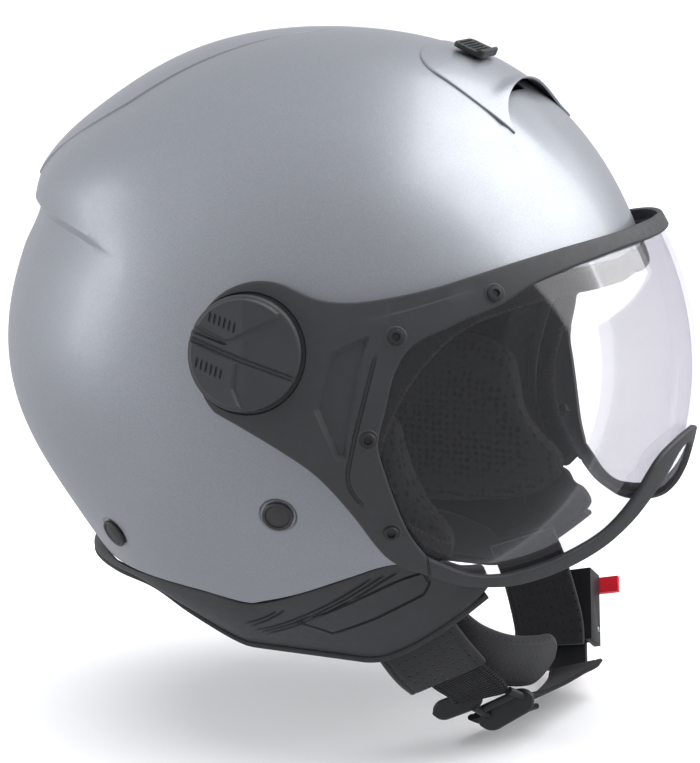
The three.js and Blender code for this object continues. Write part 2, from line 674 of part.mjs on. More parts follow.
// ---------------------------------------------------------------- strap anchors
// Profiles are [radius, height over the shell's surface].
function makeAnchors() {
  const { shank, head, washer, hole } = RIVET;
  const rivetProfile = [[0, -11], [shank, -11], [shank, CLEAR], [head, CLEAR], [head, CLEAR + 1],
    [head - 1.4, CLEAR + 2], [0, CLEAR + 2.2]];
  const washerProfile = [[hole, -6], [washer, -6], [washer, -4.6], [hole, -4.6], [hole, -6]];
  for (const { name, sign } of SIDES) {
    for (const rivet of STRAP_RIVETS) {
      const { point, normal } = rivetSeat(rivet, sign);
      add(`strap_rivet_${rivet.name}_${name}`, place(lathe(rivetProfile, 14), point, normal), steel);
      add(`rivet_washer_${rivet.name}_${name}`, place(lathe(washerProfile, 12), point, normal), steel);
    }
    const [front, rear] = anchorLegs(sign).map((leg) => toManifold(
      strap(leg.points, leg.widths, WEBBING.width - 8, WEBBING.thick)));
    add(`anchor_strap_${name}`, toGeometry(cutAll(front.add(rear), rivetHoles)), blackFabric);
  }
}

// ---------------------------------------------------------------- chin strap
const chinStrap = new THREE.Group();
const tongue = new THREE.Group();
const lever = new THREE.Group();
root.add(chinStrap, tongue, lever);

// Middle line of the right-hand webbing from the flex line under the cheek to the adjuster.
const RIGHT_LINE = [[65.5, -62.5, -83], [68.5, -60, -91], [72.5, -54, -101], [78, -46, -110],
  [81.9, -38.5, -116]];
const RIGHT_LEAN = [[0.73, 0, 0.68], [0.73, 0, 0.68], [0.76, 0, 0.65], [0.84, 0, 0.54], [0.9, 0, 0.44]];
const CHIN_LINE = [[88.5, -22.5, -124.5], [92, -8, -129.5], [95, 10, -132.5], [97, 28, -134.5],
  [97.5, 42, -135.5], [96.5, 50, -135]];
const CHIN_LEAN = [[0.92, 0, 0.38], [0.94, 0, 0.32], [0.96, 0, 0.25], [0.97, 0, 0.2], [0.97, 0, 0.18],
  [0.97, 0, 0.16]];
const PAD_LINE = [[74, -50, -91], [82, -42, -99], [90, -30, -106], [97, -14, -111.5], [101, -1, -114]];
const PAD_LEAN = [[0.5, -0.2, 0.84], [0.45, -0.2, 0.87], [0.4, -0.2, 0.9], [0.3, -0.2, 0.93],
  [0.3, -0.2, 0.93]];
const LEFT_LINE = [[65, 63, -83], [69, 65, -92], [74.5, 64, -104], [80, 60.5, -113], [83.5, 55.5, -120.5]];
const LEFT_LEAN = [[0.97, 0, 0.23], [0.97, 0, 0.23], [0.97, 0, 0.23], [0.97, 0, 0.2], [0.97, 0, 0.2]];

function makeChinStrap() {
  const { width, thick } = WEBBING;
  add('chin_strap_right', strap(RIGHT_LINE, RIGHT_LEAN, width, thick), blackFabric, chinStrap);
  add('chin_strap_left', strap(LEFT_LINE, LEFT_LEAN, width, thick), blackFabric, chinStrap);
  const { wall, lift, right, left } = SLEEVE;
  const rightSleeve = strap(RIGHT_LINE.slice(0, 4), RIGHT_LEAN.slice(0, 4), right, wall, lift);
  add('strap_sleeve_right', rightSleeve, suede, chinStrap);
  const leftSleeve = strap(LEFT_LINE.slice(0, 4), LEFT_LEAN.slice(0, 4), left, wall, lift);
  add('strap_sleeve_left', leftSleeve, suede, chinStrap);
  add('chin_pad', strap(PAD_LINE, PAD_LEAN, WEBBING.width, 4), suede, chinStrap);
}

function makeAdjuster() {
  add('chin_webbing', strap(CHIN_LINE, CHIN_LEAN, WEBBING.width, WEBBING.thick), blackFabric, tongue);
  const glide = new THREE.BoxGeometry(30, 4.4, 9);
  glide.rotateX(0.55).rotateZ(-0.1).rotateY(0.38);
  glide.translate(86.2, -28.6, -123.8);
  add('strap_adjuster', glide, blackPlastic, tongue);
  const tail = [[85, -24, -130.5], [86.5, -17, -134.5], [88, -10, -137]];
  const tailLean = [[0.92, 0.1, 0.38], [0.92, 0.1, 0.38], [0.92, 0.1, 0.38]];
  add('strap_tail', strap(tail, tailLean, 25, 2.6, 0, 4), blackFabric, tongue);
}

// The buckle lies on the outside of the left webbing. Its own axes: x across the webbing,
// y out of the buckle's face, z up along the webbing.
const BUCKLE = { centre: new THREE.Vector3(85.2, 69, -116), across: new THREE.Vector3(0.975, 0.03, 0.22),
  out: new THREE.Vector3(0.1, 0.81, -0.51) };
BUCKLE.across.normalize();
BUCKLE.out.addScaledVector(BUCKLE.across, -BUCKLE.out.dot(BUCKLE.across)).normalize();
BUCKLE.up = new THREE.Vector3().crossVectors(BUCKLE.across, BUCKLE.out);
const BUCKLE_SIZE = { width: 28, depth: 12, length: 32 };
const RACK_Y = -2.4;
const LEVER_PIN = { y: 4.2, z: -9 };

function inBuckle(geometry) {
  const { across, out, up, centre } = BUCKLE;
  return geometry.applyMatrix4(new THREE.Matrix4().makeBasis(across, out, up).setPosition(centre));
}

function buckleBox(width, depth, length, x, y, z) {
  return toManifold(inBuckle(new THREE.BoxGeometry(width, depth, length).translate(x, y, z)));
}

function bucklePin(radius, length) {
  const geometry = new THREE.CylinderGeometry(radius, radius, length, 12).rotateZ(Math.PI / 2);
  return inBuckle(geometry.translate(0, LEVER_PIN.y, LEVER_PIN.z));
}

function makeBuckle() {
  const { width, depth, length } = BUCKLE_SIZE;
  const body = buckleBox(width, depth, length, 0, 0, 0);
  const slot = buckleBox(22, 3.4, length, 0, RACK_Y, -6);
  const well = buckleBox(22, depth, length - 4, 0, depth / 2 - 0.6, 4);
  const lap = buckleBox(22, depth, 10, 0, depth / 2 - 0.6, -12);
  const pinHole = toManifold(bucklePin(1.6, width + 2));
  add('buckle_body', toGeometry(cutAll(body, [slot, well, lap, pinHole])), blackPlastic, chinStrap);
  add('lever_pin', bucklePin(1.3, width), steel, chinStrap);
  const plate = buckleBox(21, 3.6, 26, 0, LEVER_PIN.y, 1);
  const tab = buckleBox(16, 2.6, 7, 14, LEVER_PIN.y + 4.2, 12);
  const post = buckleBox(9, 6, 7, 5, LEVER_PIN.y + 2.5, 12);
  const leverSolid = plate.add(tab).add(post).subtract(toManifold(bucklePin(1.6, width)));
  add('buckle_lever', toGeometry(leverSolid), redPlastic, lever);
  add('ratchet_tongue', toGeometry(buckleBox(21, 2.2, 34, 0, RACK_Y, -10)), blackPlastic, tongue);
}

makeShell();
makeFoam();
makeLining();
makeCheekPads();
makeBase();
makeFaceTrim();
makeVent();
makeVisorPanels();
makeVisorFasteners();
makePivots();
makeAnchors();
makeChinStrap();
makeAdjuster();
makeBuckle();

export default root;
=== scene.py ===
"""Looks for the open face motorcycle helmet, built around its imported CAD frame.

Shapes are worked out in millimetres from the poles of the helmet's rounded forms and turned
into metres in the frame when a mesh is made. +X is forward, +Y the wearer's left, +Z up.
"""
import json
import math

import bmesh
import bpy
import numpy as np
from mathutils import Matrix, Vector
from mathutils.geometry import delaunay_2d_cdt


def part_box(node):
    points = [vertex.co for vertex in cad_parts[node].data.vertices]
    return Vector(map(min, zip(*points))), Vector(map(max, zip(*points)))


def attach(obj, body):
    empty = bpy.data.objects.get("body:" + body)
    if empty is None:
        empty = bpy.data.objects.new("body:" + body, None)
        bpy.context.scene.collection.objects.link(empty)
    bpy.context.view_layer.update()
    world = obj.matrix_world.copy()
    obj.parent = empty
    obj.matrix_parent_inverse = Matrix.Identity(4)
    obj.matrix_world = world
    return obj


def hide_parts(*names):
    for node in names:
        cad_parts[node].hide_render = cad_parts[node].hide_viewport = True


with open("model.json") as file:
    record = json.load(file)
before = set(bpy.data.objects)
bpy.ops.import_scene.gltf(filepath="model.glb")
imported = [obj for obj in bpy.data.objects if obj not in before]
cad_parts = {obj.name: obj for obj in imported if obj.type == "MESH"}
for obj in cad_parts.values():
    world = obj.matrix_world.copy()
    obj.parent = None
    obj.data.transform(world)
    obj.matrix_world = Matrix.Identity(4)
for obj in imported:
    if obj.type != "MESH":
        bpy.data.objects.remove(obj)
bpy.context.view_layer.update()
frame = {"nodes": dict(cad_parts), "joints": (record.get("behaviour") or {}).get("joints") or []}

MM = 0.001
SIDES = {"right": -1, "left": 1}  # the wearer's side: sign of Y
JOINTS = {joint["name"]: joint for joint in frame["joints"]}
PIVOT = np.array([23.8, 0.0, 28.2])  # the visor's hinge, from the pole of the forms
POLE = np.array(JOINTS["visor_tilt"]["pos_m"]) / MM - PIVOT

# ------------------------------------------------------------------ the rounded forms
# Shell: radius of its middle profile every 30 degrees from straight ahead, up over the crown and
# down the back. Visor: the lens's outer face. Both have half width `half` and sections of power
# `power`. Depths and heights below are in mm from the shell's or the lens's outer face.
SHELL = {"radii": [139, 142, 143, 137, 137, 131, 127, 113, 115, 115, 120, 130],
         "half": 121.0, "power": 2.05}
VISOR = {"reach": 154.6, "lift": 2.0, "curl": 22.0, "half": 126.0, "power": 2.04}
SHELL_WALL = 3.0
FOAM_FACE = 3.5
FOAM_WALL = 21.0
LINER_DEPTH = 27.6
LENS_WALL = 2.0
FRAME_BASE = 0.3
FRAME_TOP = 2.5


def unit(v):
    """A vector, or each row of an array of vectors, at length 1."""
    v = np.asarray(v, float)
    return v / np.linalg.norm(v, axis=v.ndim - 1 or None, keepdims=True)


def flip(points):
    """Points on the other side of the middle plane."""
    return np.asarray(points, float) * [1, -1, 1]


def profile_radius(form, angle):
    """Radius of the middle profile at angles up from straight ahead."""
    angle = np.asarray(angle, float)
    if "radii" not in form:
        rise = np.sin(angle)
        return form["reach"] + form["lift"] * rise - form["curl"] * rise * rise
    radii = np.array(form["radii"], float)
    count = len(radii)
    x = angle[..., None] - 2 * math.pi * np.arange(count) / count
    near = np.abs(np.sin(x / 2)) < 1e-9
    safe = np.where(near, 1.0, x)
    weight = np.where(near, count, np.sin(count * safe / 2) / np.tan(safe / 2))
    return (weight * radii).sum(-1) / count


def level(form, p):
    """0 on the form, negative inside it."""
    rho = np.hypot(p[:, 0], p[:, 2]) / profile_radius(form, np.arctan2(p[:, 2], p[:, 0]))
    return rho ** form["power"] + (np.abs(p[:, 1]) / form["half"]) ** form["power"] - 1


def normal_of(form, p):
    """Unit directions out of the form at points near it."""
    steps = 0.2 * np.eye(3)
    return unit(np.stack([level(form, p + step) - level(form, p - step) for step in steps], 1))


def on_form(form, directions, offset=0.0):
    """Points of the form along unit directions from its pole, raised by an offset."""
    d = np.asarray(directions, float)
    radius = profile_radius(form, np.arctan2(d[:, 2], d[:, 0]))
    across = np.hypot(d[:, 0], d[:, 2]) / radius
    out = np.abs(d[:, 1]) / form["half"]
    reach = (across ** form["power"] + out ** form["power"]) ** (-1 / form["power"])
    p = d * reach[:, None]
    return p + normal_of(form, p) * np.reshape(offset, (-1, 1))


def from_side(form, xz, side, offset=0.0):
    """Points of the form seen at [x, z] from the side. Any beyond its outline land on the middle."""
    xz = np.atleast_2d(np.asarray(xz, float))
    rho = np.hypot(xz[:, 0], xz[:, 1]) / profile_radius(form, np.arctan2(xz[:, 1], xz[:, 0]))
    y = form["half"] * np.clip(1 - rho ** form["power"], 0, None) ** (1 / form["power"])
    p = np.stack([xz[:, 0], side * y, xz[:, 1]], 1)
    return p + normal_of(form, p) * np.reshape(offset, (-1, 1))


class FaceChart:
    """Flat coordinates on a form by longitude and latitude, good for its front and sides."""

    scale = 140.0

    def __init__(self, form):
        self.form = form

    def flat(self, p):
        lon = np.arctan2(p[:, 1], p[:, 0])
        lat = np.arctan2(p[:, 2], np.hypot(p[:, 0], p[:, 1]))
        return np.stack([lon, lat], 1) * self.scale

    def point(self, uv, offset=0.0):
        lon, lat = uv[:, 0] / self.scale, uv[:, 1] / self.scale
        d = np.stack([np.cos(lat) * np.cos(lon), np.cos(lat) * np.sin(lon), np.sin(lat)], 1)
        return on_form(self.form, d, offset)


class CrownChart:
    """Flat coordinates on a form by distance and bearing from the crown, good for a dome."""

    scale = 130.0

    def __init__(self, form):
        self.form = form

    def flat(self, p):
        bearing = np.arctan2(p[:, 1], p[:, 0])
        fall = np.arctan2(np.hypot(p[:, 0], p[:, 1]), p[:, 2])
        return np.stack([np.cos(bearing), np.sin(bearing)], 1) * fall[:, None] * self.scale

    def point(self, uv, offset=0.0):
        fall = np.hypot(uv[:, 0], uv[:, 1]) / self.scale
        bearing = np.arctan2(uv[:, 1], uv[:, 0])
        x, y = np.sin(fall) * np.cos(bearing), np.sin(fall) * np.sin(bearing)
        return on_form(self.form, np.stack([x, y, np.cos(fall)], 1), offset)


class PlaneChart:
    """A flat disc or plate at a point, with its own forward and up directions."""

    def __init__(self, centre, normal, forward, up):
        self.centre = np.asarray(centre, float)
        self.normal, self.forward, self.up = unit(normal), unit(forward), unit(up)

    def point(self, uv, offset=0.0):
        uv = np.asarray(uv, float)
        out = np.reshape(offset, (-1, 1)) * self.normal
        return self.centre + uv[:, :1] * self.forward + uv[:, 1:] * self.up + out


# ------------------------------------------------------------------ curves in the flat
def spline(points, count, closed=False):
    """Catmull-Rom curve through the points, any dimension, `count` steps in all."""
    p = np.asarray(points, float)
    if closed:
        p = np.vstack([p[-1:], p, p[:2]])
    else:
        p = np.vstack([2 * p[0] - p[1], p, 2 * p[-1] - p[-2]])
    spans = len(p) - 3
    t = np.linspace(0, spans, count + 1)[:count if closed else None]
    i = np.minimum(t.astype(int), spans - 1)
    w = (t - i)[:, None]
    a, b, c, d = p[i], p[i + 1], p[i + 2], p[i + 3]
    bend, turn = 2 * a - 5 * b + 4 * c - d, 3 * b - a - 3 * c + d
    return 0.5 * (2 * b + (c - a) * w + bend * w**2 + turn * w**3)


def lengths(path):
    """The length along a path at each of its points."""
    return np.r_[0, np.cumsum(np.linalg.norm(np.diff(path, axis=0), axis=1))]


def resample(path, step, closed=False):
    """The path at even spacing close to `step`. A closed path doesn't repeat its first point."""
    path = np.asarray(path, float)
    if closed:
        path = np.vstack([path, path[:1]])
    length = lengths(path)
    count = max(int(round(length[-1] / step)), 2)
    at = np.linspace(0, length[-1], count + 1)
    even = np.stack([np.interp(at, length, path[:, k]) for k in range(path.shape[1])], 1)
    return even[:-1] if closed else even


def area_of(loop):
    """Area inside a flat loop, negative for a clockwise one."""
    x, y = loop[:, 0], loop[:, 1]
    return 0.5 * np.sum(x * np.roll(y, -1) - y * np.roll(x, -1))


def inset(chart, path, distance, closed=True):
    """A flat path moved to its left by a true distance: inwards for a counter-clockwise loop."""
    step = 0.5
    here = chart.point(path)
    du = (chart.point(path + [step, 0]) - chart.point(path - [step, 0])) / (2 * step)
    dv = (chart.point(path + [0, step]) - chart.point(path - [0, step])) / (2 * step)
    along = np.roll(here, -1, 0) - np.roll(here, 1, 0) if closed else np.gradient(here, axis=0)
    left = np.cross(np.cross(du, dv), along)
    left *= distance / np.linalg.norm(left, axis=1, keepdims=True)
    uu, uv, vv = (du * du).sum(1), (du * dv).sum(1), (dv * dv).sum(1)
    lu, lv = (du * left).sum(1), (dv * left).sum(1)
    spread = uu * vv - uv * uv
    return path + np.stack([vv * lu - uv * lv, uu * lv - uv * lu], 1) / spread[:, None]


def inside(points, loop):
    """Whether each flat point is inside a loop."""
    hit = np.zeros(len(points), bool)
    a, b = loop, np.roll(loop, -1, 0)
    for (ax, ay), (bx, by) in zip(a, b):
        if ay != by:
            crosses = (ay > points[:, 1]) != (by > points[:, 1])
            at = ax + (points[:, 1] - ay) * (bx - ax) / (by - ay)
            hit ^= crosses & (points[:, 0] < at)
    return hit


def within(points, loops):
    """Whether each flat point is inside the first loop and outside the others."""
    keep = inside(points, loops[0])
    for hole in loops[1:]:
        keep &= ~inside(points, hole)
    return keep


def nearest(points, path, closed=True):
    """Of each point: its distance to a path, the length along it there, and the stretch's number."""
    a = path if closed else path[:-1]
    b = np.roll(path, -1, 0) if closed else path[1:]
    run = b - a
    size = np.linalg.norm(run, axis=1)
    start = np.r_[0, np.cumsum(size)[:-1]]
    best = np.full(len(points), np.inf)
    along = np.zeros(len(points))
    stretch = np.zeros(len(points), int)
    for k in range(len(a)):
        rel = points - a[k]
        t = np.clip(rel @ run[k] / max(size[k] ** 2, 1e-12), 0, 1)
        d = np.linalg.norm(rel - t[:, None] * run[k], axis=1)
        closer = d < best
        best[closer] = d[closer]
        along[closer] = start[k] + t[closer] * size[k]
        stretch[closer] = k
    return best, along, stretch


def left_of(points, path):
    """Whether each flat point is to the left of an open flat path."""
    k = nearest(points, path, False)[2]
    run, rel = path[k + 1] - path[k], points - path[k]
    return run[:, 0] * rel[:, 1] - run[:, 1] * rel[:, 0] > 0


def ease(t):
    """0 to 1 with level ends."""
    t = np.clip(t, 0, 1)
    return t * t * (3 - 2 * t)


# ------------------------------------------------------------------ relief on a panel
# A relief has rows, the flat curves that the mesh must follow, and height(uv, p), in mm.
class Groove:
    """A sunk line, or a raised one when its depth is negative. Its ends run out to nothing."""

    def __init__(self, chart, path, width, depth, wall=0.3, closed=False, runout=4.0):
        self.path, self.width, self.depth = resample(path, 1.0, closed), width, depth
        self.wall, self.closed, self.runout = wall, closed, runout
        offsets = [-width / 2 - wall, -width / 2, width / 2, width / 2 + wall]
        self.rows = [(inset(chart, self.path, o, closed), closed) for o in offsets]
        self.line = chart.point(self.path)

    def height(self, uv, p):
        d, along, _ = nearest(p, self.line, self.closed)
        share = ease((self.width / 2 + self.wall - d) / self.wall)
        if not self.closed:
            length = np.linalg.norm(np.diff(self.line, axis=0), axis=1).sum()
            share *= ease(along / self.runout) * ease((length - along) / self.runout)
        return -self.depth * share


class Pocket:
    """A sunk area with sloping walls, or a raised one when its depth is negative."""

    def __init__(self, chart, loop, depth, wall):
        loop = resample(loop, 1.0, True)
        self.loop = loop if area_of(loop) > 0 else loop[::-1]
        self.depth, self.wall = depth, wall
        self.rows = [(self.loop, True), (inset(chart, self.loop, wall), True)]
        self.line = chart.point(self.loop)

    def height(self, uv, p):
        d = np.where(inside(uv, self.loop), nearest(p, self.line)[0], 0)
        return -self.depth * np.clip(d / self.wall, 0, 1)


class Ledge:
    """A step down to the left of a line, deepest where `drops` says, easing back over `fade`."""

    def __init__(self, chart, path, drops, wall, fade):
        self.path = resample(path, 1.5)
        self.line = chart.point(self.path)
        length = np.linalg.norm(np.diff(self.line, axis=0), axis=1).sum()
        self.stations = np.linspace(0, length, len(drops))
        self.drops, self.wall, self.fade = np.asarray(drops, float), wall, fade
        self.rows = [(inset(chart, self.path, o, False), False) for o in (0, wall * 0.5, wall)]

    def height(self, uv, p):
        d, along, _ = nearest(p, self.line, False)
        drop = np.interp(along, self.stations, self.drops)
        share = ease(d / self.wall) * (1 - ease((d - self.wall) / self.fade))
        return -drop * share * left_of(uv, self.path)


# ------------------------------------------------------------------ meshes
def place(name, data):
    """A new object in the scene from a mesh, light or camera."""
    thing = bpy.data.objects.new(name, data)
    bpy.context.scene.collection.objects.link(thing)
    return thing


def smooth(mesh, sharp):
    """Shade a mesh smooth except along edges that turn by more than `sharp` degrees."""
    mesh.polygons.foreach_set("use_smooth", [True] * len(mesh.polygons))
    mesh.set_sharp_from_angle(angle=math.radians(sharp))


def make(name, points, faces, sharp):
    """A mesh piece from points in mm from the pole."""
    mesh = bpy.data.meshes.new(name)
    mesh.from_pydata(((points + POLE) * MM).tolist(), [], [list(map(int, f)) for f in faces])
    smooth(mesh, sharp)
    return place(name, mesh)


EDGE_TURNS = np.radians([0, 18, 36, 54, 72, 90])  # where a rounded edge has its rows of points


def round_over(d, radius):
    """Drop of a rounded edge at distance d in from it."""
    t = np.clip(1 - d / radius, 0, 1)
    return radius * (1 - np.sqrt(1 - t * t))


def lattice(low, high, spacing):
    """Points of an even triangular grid over a flat box."""
    rows = np.arange(low[1], high[1] + spacing, spacing * math.sqrt(3) / 2)
    points = []
    for i, y in enumerate(rows):
        x = np.arange(low[0] - (i % 2) * spacing / 2, high[0] + spacing, spacing)
        points.append(np.stack([x, np.full(len(x), y)], 1))
    return np.vstack(points)


def panel(name, chart, outline, thick, base=0.0, holes=(), reliefs=(), edge=0.8, back_edge=0.3,
          spacing=3.0, step=1.3, swell=None, follow=False, sharp=40.0):
    """A closed curved plate: an outline with holes, laid on a chart, with rounded edges and reliefs.

    Its face is at height `base` over the form and its back `thick` below that. swell(uv, p, gap),
    where given, is added to the face's height, gap being the distance in from the nearest edge;
    the back stays put unless it is told to follow.
    """
    loops = []
    for k, loop in enumerate([outline, *holes]):
        loop = resample(loop, step, True)
        anticlockwise = area_of(loop) > 0
        loops.append(loop if anticlockwise == (k == 0) else loop[::-1])
    rows = []
    for loop in loops:
        insets = edge * (1 - np.cos(EDGE_TURNS[1:]))
        rows += [(loop, True), *((inset(chart, loop, distance), True) for distance in insets)]
    for relief in reliefs:
        rows += relief.rows
    fixed, links = [], []
    for path, closed in rows:
        first = sum(map(len, fixed))
        fixed.append(path)
        count = len(path)
        spans = range(count if closed else count - 1)
        links += [(first + i, first + (i + 1) % count) for i in spans]
    fixed = np.vstack(fixed)
    grid = lattice(loops[0].min(0), loops[0].max(0), spacing)
    grid = grid[within(grid, loops)]
    clear = np.full(len(grid), True)
    for path, closed in rows:
        thinned = path[::2] if len(path) > 8 else path
        clear[clear] = nearest(grid[clear], thinned, closed)[0] > spacing * 0.45
    every = np.vstack([fixed, grid[clear]])
    flat, _, triangles, *_ = delaunay_2d_cdt([Vector(p) for p in every], links, [], 0, 1e-4)
    uv = np.array([(p.x, p.y) for p in flat])
    triangles = np.array(triangles)
    triangles = triangles[within(uv[triangles].mean(1), loops)]
    used = np.unique(triangles)
    renumber = np.full(len(uv), -1)
    renumber[used] = np.arange(len(used))
    uv, triangles = uv[used], renumber[triangles]
    ground = chart.point(uv)
    gap = np.min([nearest(ground, chart.point(loop))[0] for loop in loops], axis=0)
    face = base - round_over(gap, edge)
    back = base - thick + round_over(gap, back_edge)
    if swell is not None:
        raised = swell(uv, ground, gap)
        face = face + raised
        back = back + raised * follow
    for relief in reliefs:
        face = face + relief.height(uv, ground)
    top = chart.point(uv, face)
    bottom = chart.point(uv, back)
    count = len(uv)
    edges = [pair for a, b, c in triangles for pair in ((a, b), (b, c), (c, a))]
    known = set(edges)
    faces = [tuple(t) for t in triangles]
    faces += [(c + count, b + count, a + count) for a, b, c in triangles]
    faces += [(v, u, u + count, v + count) for u, v in edges if (v, u) not in known]
    corners = top[triangles]
    facing = np.cross(corners[:, 1] - corners[:, 0], corners[:, 2] - corners[:, 0])
    if (facing * (top - bottom)[triangles[:, 0]]).sum() < 0:
        faces = [f[::-1] for f in faces]
    return make(name, np.vstack([top, bottom]), faces, sharp)


def turn_frame(normal):
    """Two directions across an axis, and the axis, all at length 1."""
    n = unit(normal)
    helper = np.array([0.0, 0.0, 1.0]) if abs(n[2]) < 0.9 else np.array([1.0, 0.0, 0.0])
    a = unit(np.cross(helper, n))
    return a, np.cross(n, a), n


def lathe(name, profile, centre, normal, segments=40, hexagonal=(), bored=False):
    """A turned solid from [radius, height] pairs; the pairs listed in `hexagonal` are six-sided.

    A bored one's profile closes on itself round the hole.
    """
    a, b, n = turn_frame(normal)
    angles = 2 * np.pi * np.arange(segments) / segments
    spokes = np.cos(angles)[:, None] * a + np.sin(angles)[:, None] * b
    hexagon = math.cos(math.pi / 6) / np.cos((angles % (math.pi / 3)) - math.pi / 6)
    rings, faces = [], []
    for k, (radius, height) in enumerate(profile):
        r = radius * (hexagon if k in hexagonal else np.ones(segments))
        rings.append(centre + height * n + r[:, None] * spokes)
    for k in range(len(rings) if bored else len(rings) - 1):
        low, high = k * segments, (k + 1) % len(rings) * segments
        for i in range(segments):
            j = (i + 1) % segments
            faces.append((low + i, low + j, high + j, high + i))
    if not bored:
        last = (len(rings) - 1) * segments
        faces += [tuple(range(segments))[::-1], tuple(range(last, last + segments))]
    piece = make(name, np.vstack(rings), faces, 35)
    outward_faces(piece)
    return piece


def strip_frame(path, across):
    """Directions across and out of a strip along a path, squared up from rough ones across it."""
    along = unit(np.gradient(path, axis=0))
    wide = unit(across - (across * along).sum(1, keepdims=True) * along)
    return wide, np.cross(wide, along)


def sweep(name, path, across, sections):
    """Sections of [across, out] pairs, one for all or one per station, swept along a path.

    Its UVMap has metres across and along.
    """
    wide, out = strip_frame(path, across)
    sections = np.broadcast_to(sections, (len(path), *sections.shape[-2:]))
    points = path[:, None] + sections[..., :1] * wide[:, None] + sections[..., 1:] * out[:, None]
    n, m = points.shape[:2]
    faces = [(i * m + j, (i + 1) * m + j, (i + 1) * m + k, i * m + k)
             for i in range(n - 1) for j, k in zip(range(m), [*range(1, m), 0])]
    faces += [tuple(range(m)), tuple(range((n - 1) * m, n * m))[::-1]]
    piece = make(name, points.reshape(-1, 3), faces, 50)
    corners = np.zeros(len(piece.data.loops), int)
    piece.data.loops.foreach_get("vertex_index", corners)
    flat = np.stack([sections.reshape(-1, 2)[corners, 0], lengths(path)[corners // m]], 1) * MM
    piece.data.uv_layers.new(name="UVMap").data.foreach_set("uv", flat.ravel())
    outward_faces(piece)
    return piece


def outward_faces(piece):
    bm = bmesh.new()
    bm.from_mesh(piece.data)
    bmesh.ops.recalc_face_normals(bm, faces=bm.faces)
    bm.to_mesh(piece.data)
    bm.free()


def arcs(corners, steps):
    """A loop of quarter circles, each from [centre x, centre y, radius, first angle in degrees]."""
    loop = []
    for x, y, radius, start in corners:
        for k in range(steps + 1):
            a = math.radians(start + 90 * k / steps)
            loop.append((x + radius * math.cos(a), y + radius * math.sin(a)))
    return np.array(loop)


def lozenge(width, height, corner, steps):
    """A rectangle with rounded corners about the origin."""
    x, y = width / 2 - corner, height / 2 - corner
    return arcs([(x, y, corner, 0), (-x, y, corner, 90), (-x, -y, corner, 180),
                 (x, -y, corner, 270)], steps)


# ------------------------------------------------------------------ materials
class Graph:
    """A node tree being put together: short calls that add a node each and return its output."""

    def __init__(self, tree):
        self.nodes, self.links = tree.nodes, tree.links

    def feed(self, socket, value):
        """Link an output to an input, or set the input's own value."""
        if isinstance(value, bpy.types.NodeSocket):
            self.links.new(value, socket)
        else:
            socket.default_value = value

    def put(self, kind, settings=(), values=(), **inputs):
        """A node, with values for its first inputs in order and for others by name."""
        node = self.nodes.new(kind)
        for key, value in dict(settings).items():
            setattr(node, key, value)
        for socket, value in zip(node.inputs, values):
            self.feed(socket, value)
        for key, value in inputs.items():
            self.feed(node.inputs[key], value)
        return node

    def remap(self, value, low, high, to_low=0.0, to_high=1.0, curve="LINEAR"):
        return self.put("ShaderNodeMapRange", {"interpolation_type": curve},
                        (value, low, high, to_low, to_high)).outputs[0]

    def times(self, a, b):
        return self.put("ShaderNodeMath", {"operation": "MULTIPLY"}, (a, b)).outputs[0]

    def between(self, share, first, second):
        """A colour on the way from one to another, by a share."""
        return self.put("ShaderNodeMix", {"data_type": "RGBA"}, Factor=share, A=(*first, 1),
                        B=(*second, 1)).outputs["Result"]


class Look(Graph):
    """A material on a Principled BSDF, with patterns in the object's own metres or on its UVMap."""

    def __init__(self, name, colour, roughness, metallic=0.0, on_uv=False):
        self.material = bpy.data.materials.new(name)
        self.material.use_nodes = True
        super().__init__(self.material.node_tree)
        self.bsdf = self.nodes["Principled BSDF"]
        self.colour = colour
        self.set(Base_Color=(*colour, 1), Roughness=roughness, Metallic=metallic)
        if on_uv:
            self.place = self.put("ShaderNodeUVMap").outputs[0]
        else:
            self.place = self.put("ShaderNodeTexCoord").outputs["Object"]

    def set(self, **inputs):
        for key, value in inputs.items():
            self.feed(self.bsdf.inputs[key.replace("_", " ")], value)

    def noise(self, size_mm, detail=3.0):
        return self.put("ShaderNodeTexNoise", Vector=self.place, Scale=1 / (size_mm * MM),
                        Detail=detail).outputs[0]

    def cells(self, size_mm, random=1.0):
        return self.put("ShaderNodeTexVoronoi", Vector=self.place, Scale=1 / (size_mm * MM),
                        Randomness=random).outputs["Distance"]

    def waves(self, pitch_mm, axis):
        """One wave every `pitch_mm`: the node itself makes 10 / pi of them per unit at scale 1."""
        return self.put("ShaderNodeTexWave", {"bands_direction": axis}, Vector=self.place,
                        Scale=100 * math.pi / pitch_mm).outputs["Fac"]

    def tint(self, mask, dark, light):
        """Base colour between two multiples of the look's colour, by a mask."""
        ends = [[min(c * share, 1) for c in self.colour] for share in (dark, light)]
        self.set(Base_Color=self.between(mask, *ends))

    def rough(self, value, low, high):
        """Roughness between two values, by a noise."""
        self.set(Roughness=self.remap(value, 0.3, 0.7, low, high))

    def bump(self, value, depth_mm):
        node = self.put("ShaderNodeBump", Height=value, Distance=depth_mm * MM, Strength=1.0)
        before = self.bsdf.inputs["Normal"]
        if before.is_linked:
            self.feed(node.inputs["Normal"], before.links[0].from_socket)
        self.set(Normal=node.outputs[0])


def silver_paint():
    look = Look("silver_paint", (0.395, 0.41, 0.44), 0.4, 0.85)
    look.tint(look.remap(look.cells(0.35), 0.1, 0.6), 1.12, 0.9)
    look.rough(look.noise(14), 0.38, 0.43)
    look.bump(look.noise(0.9, 1), 0.004)
    look.set(Coat_Weight=0.35, Coat_Roughness=0.12)
    return look.material


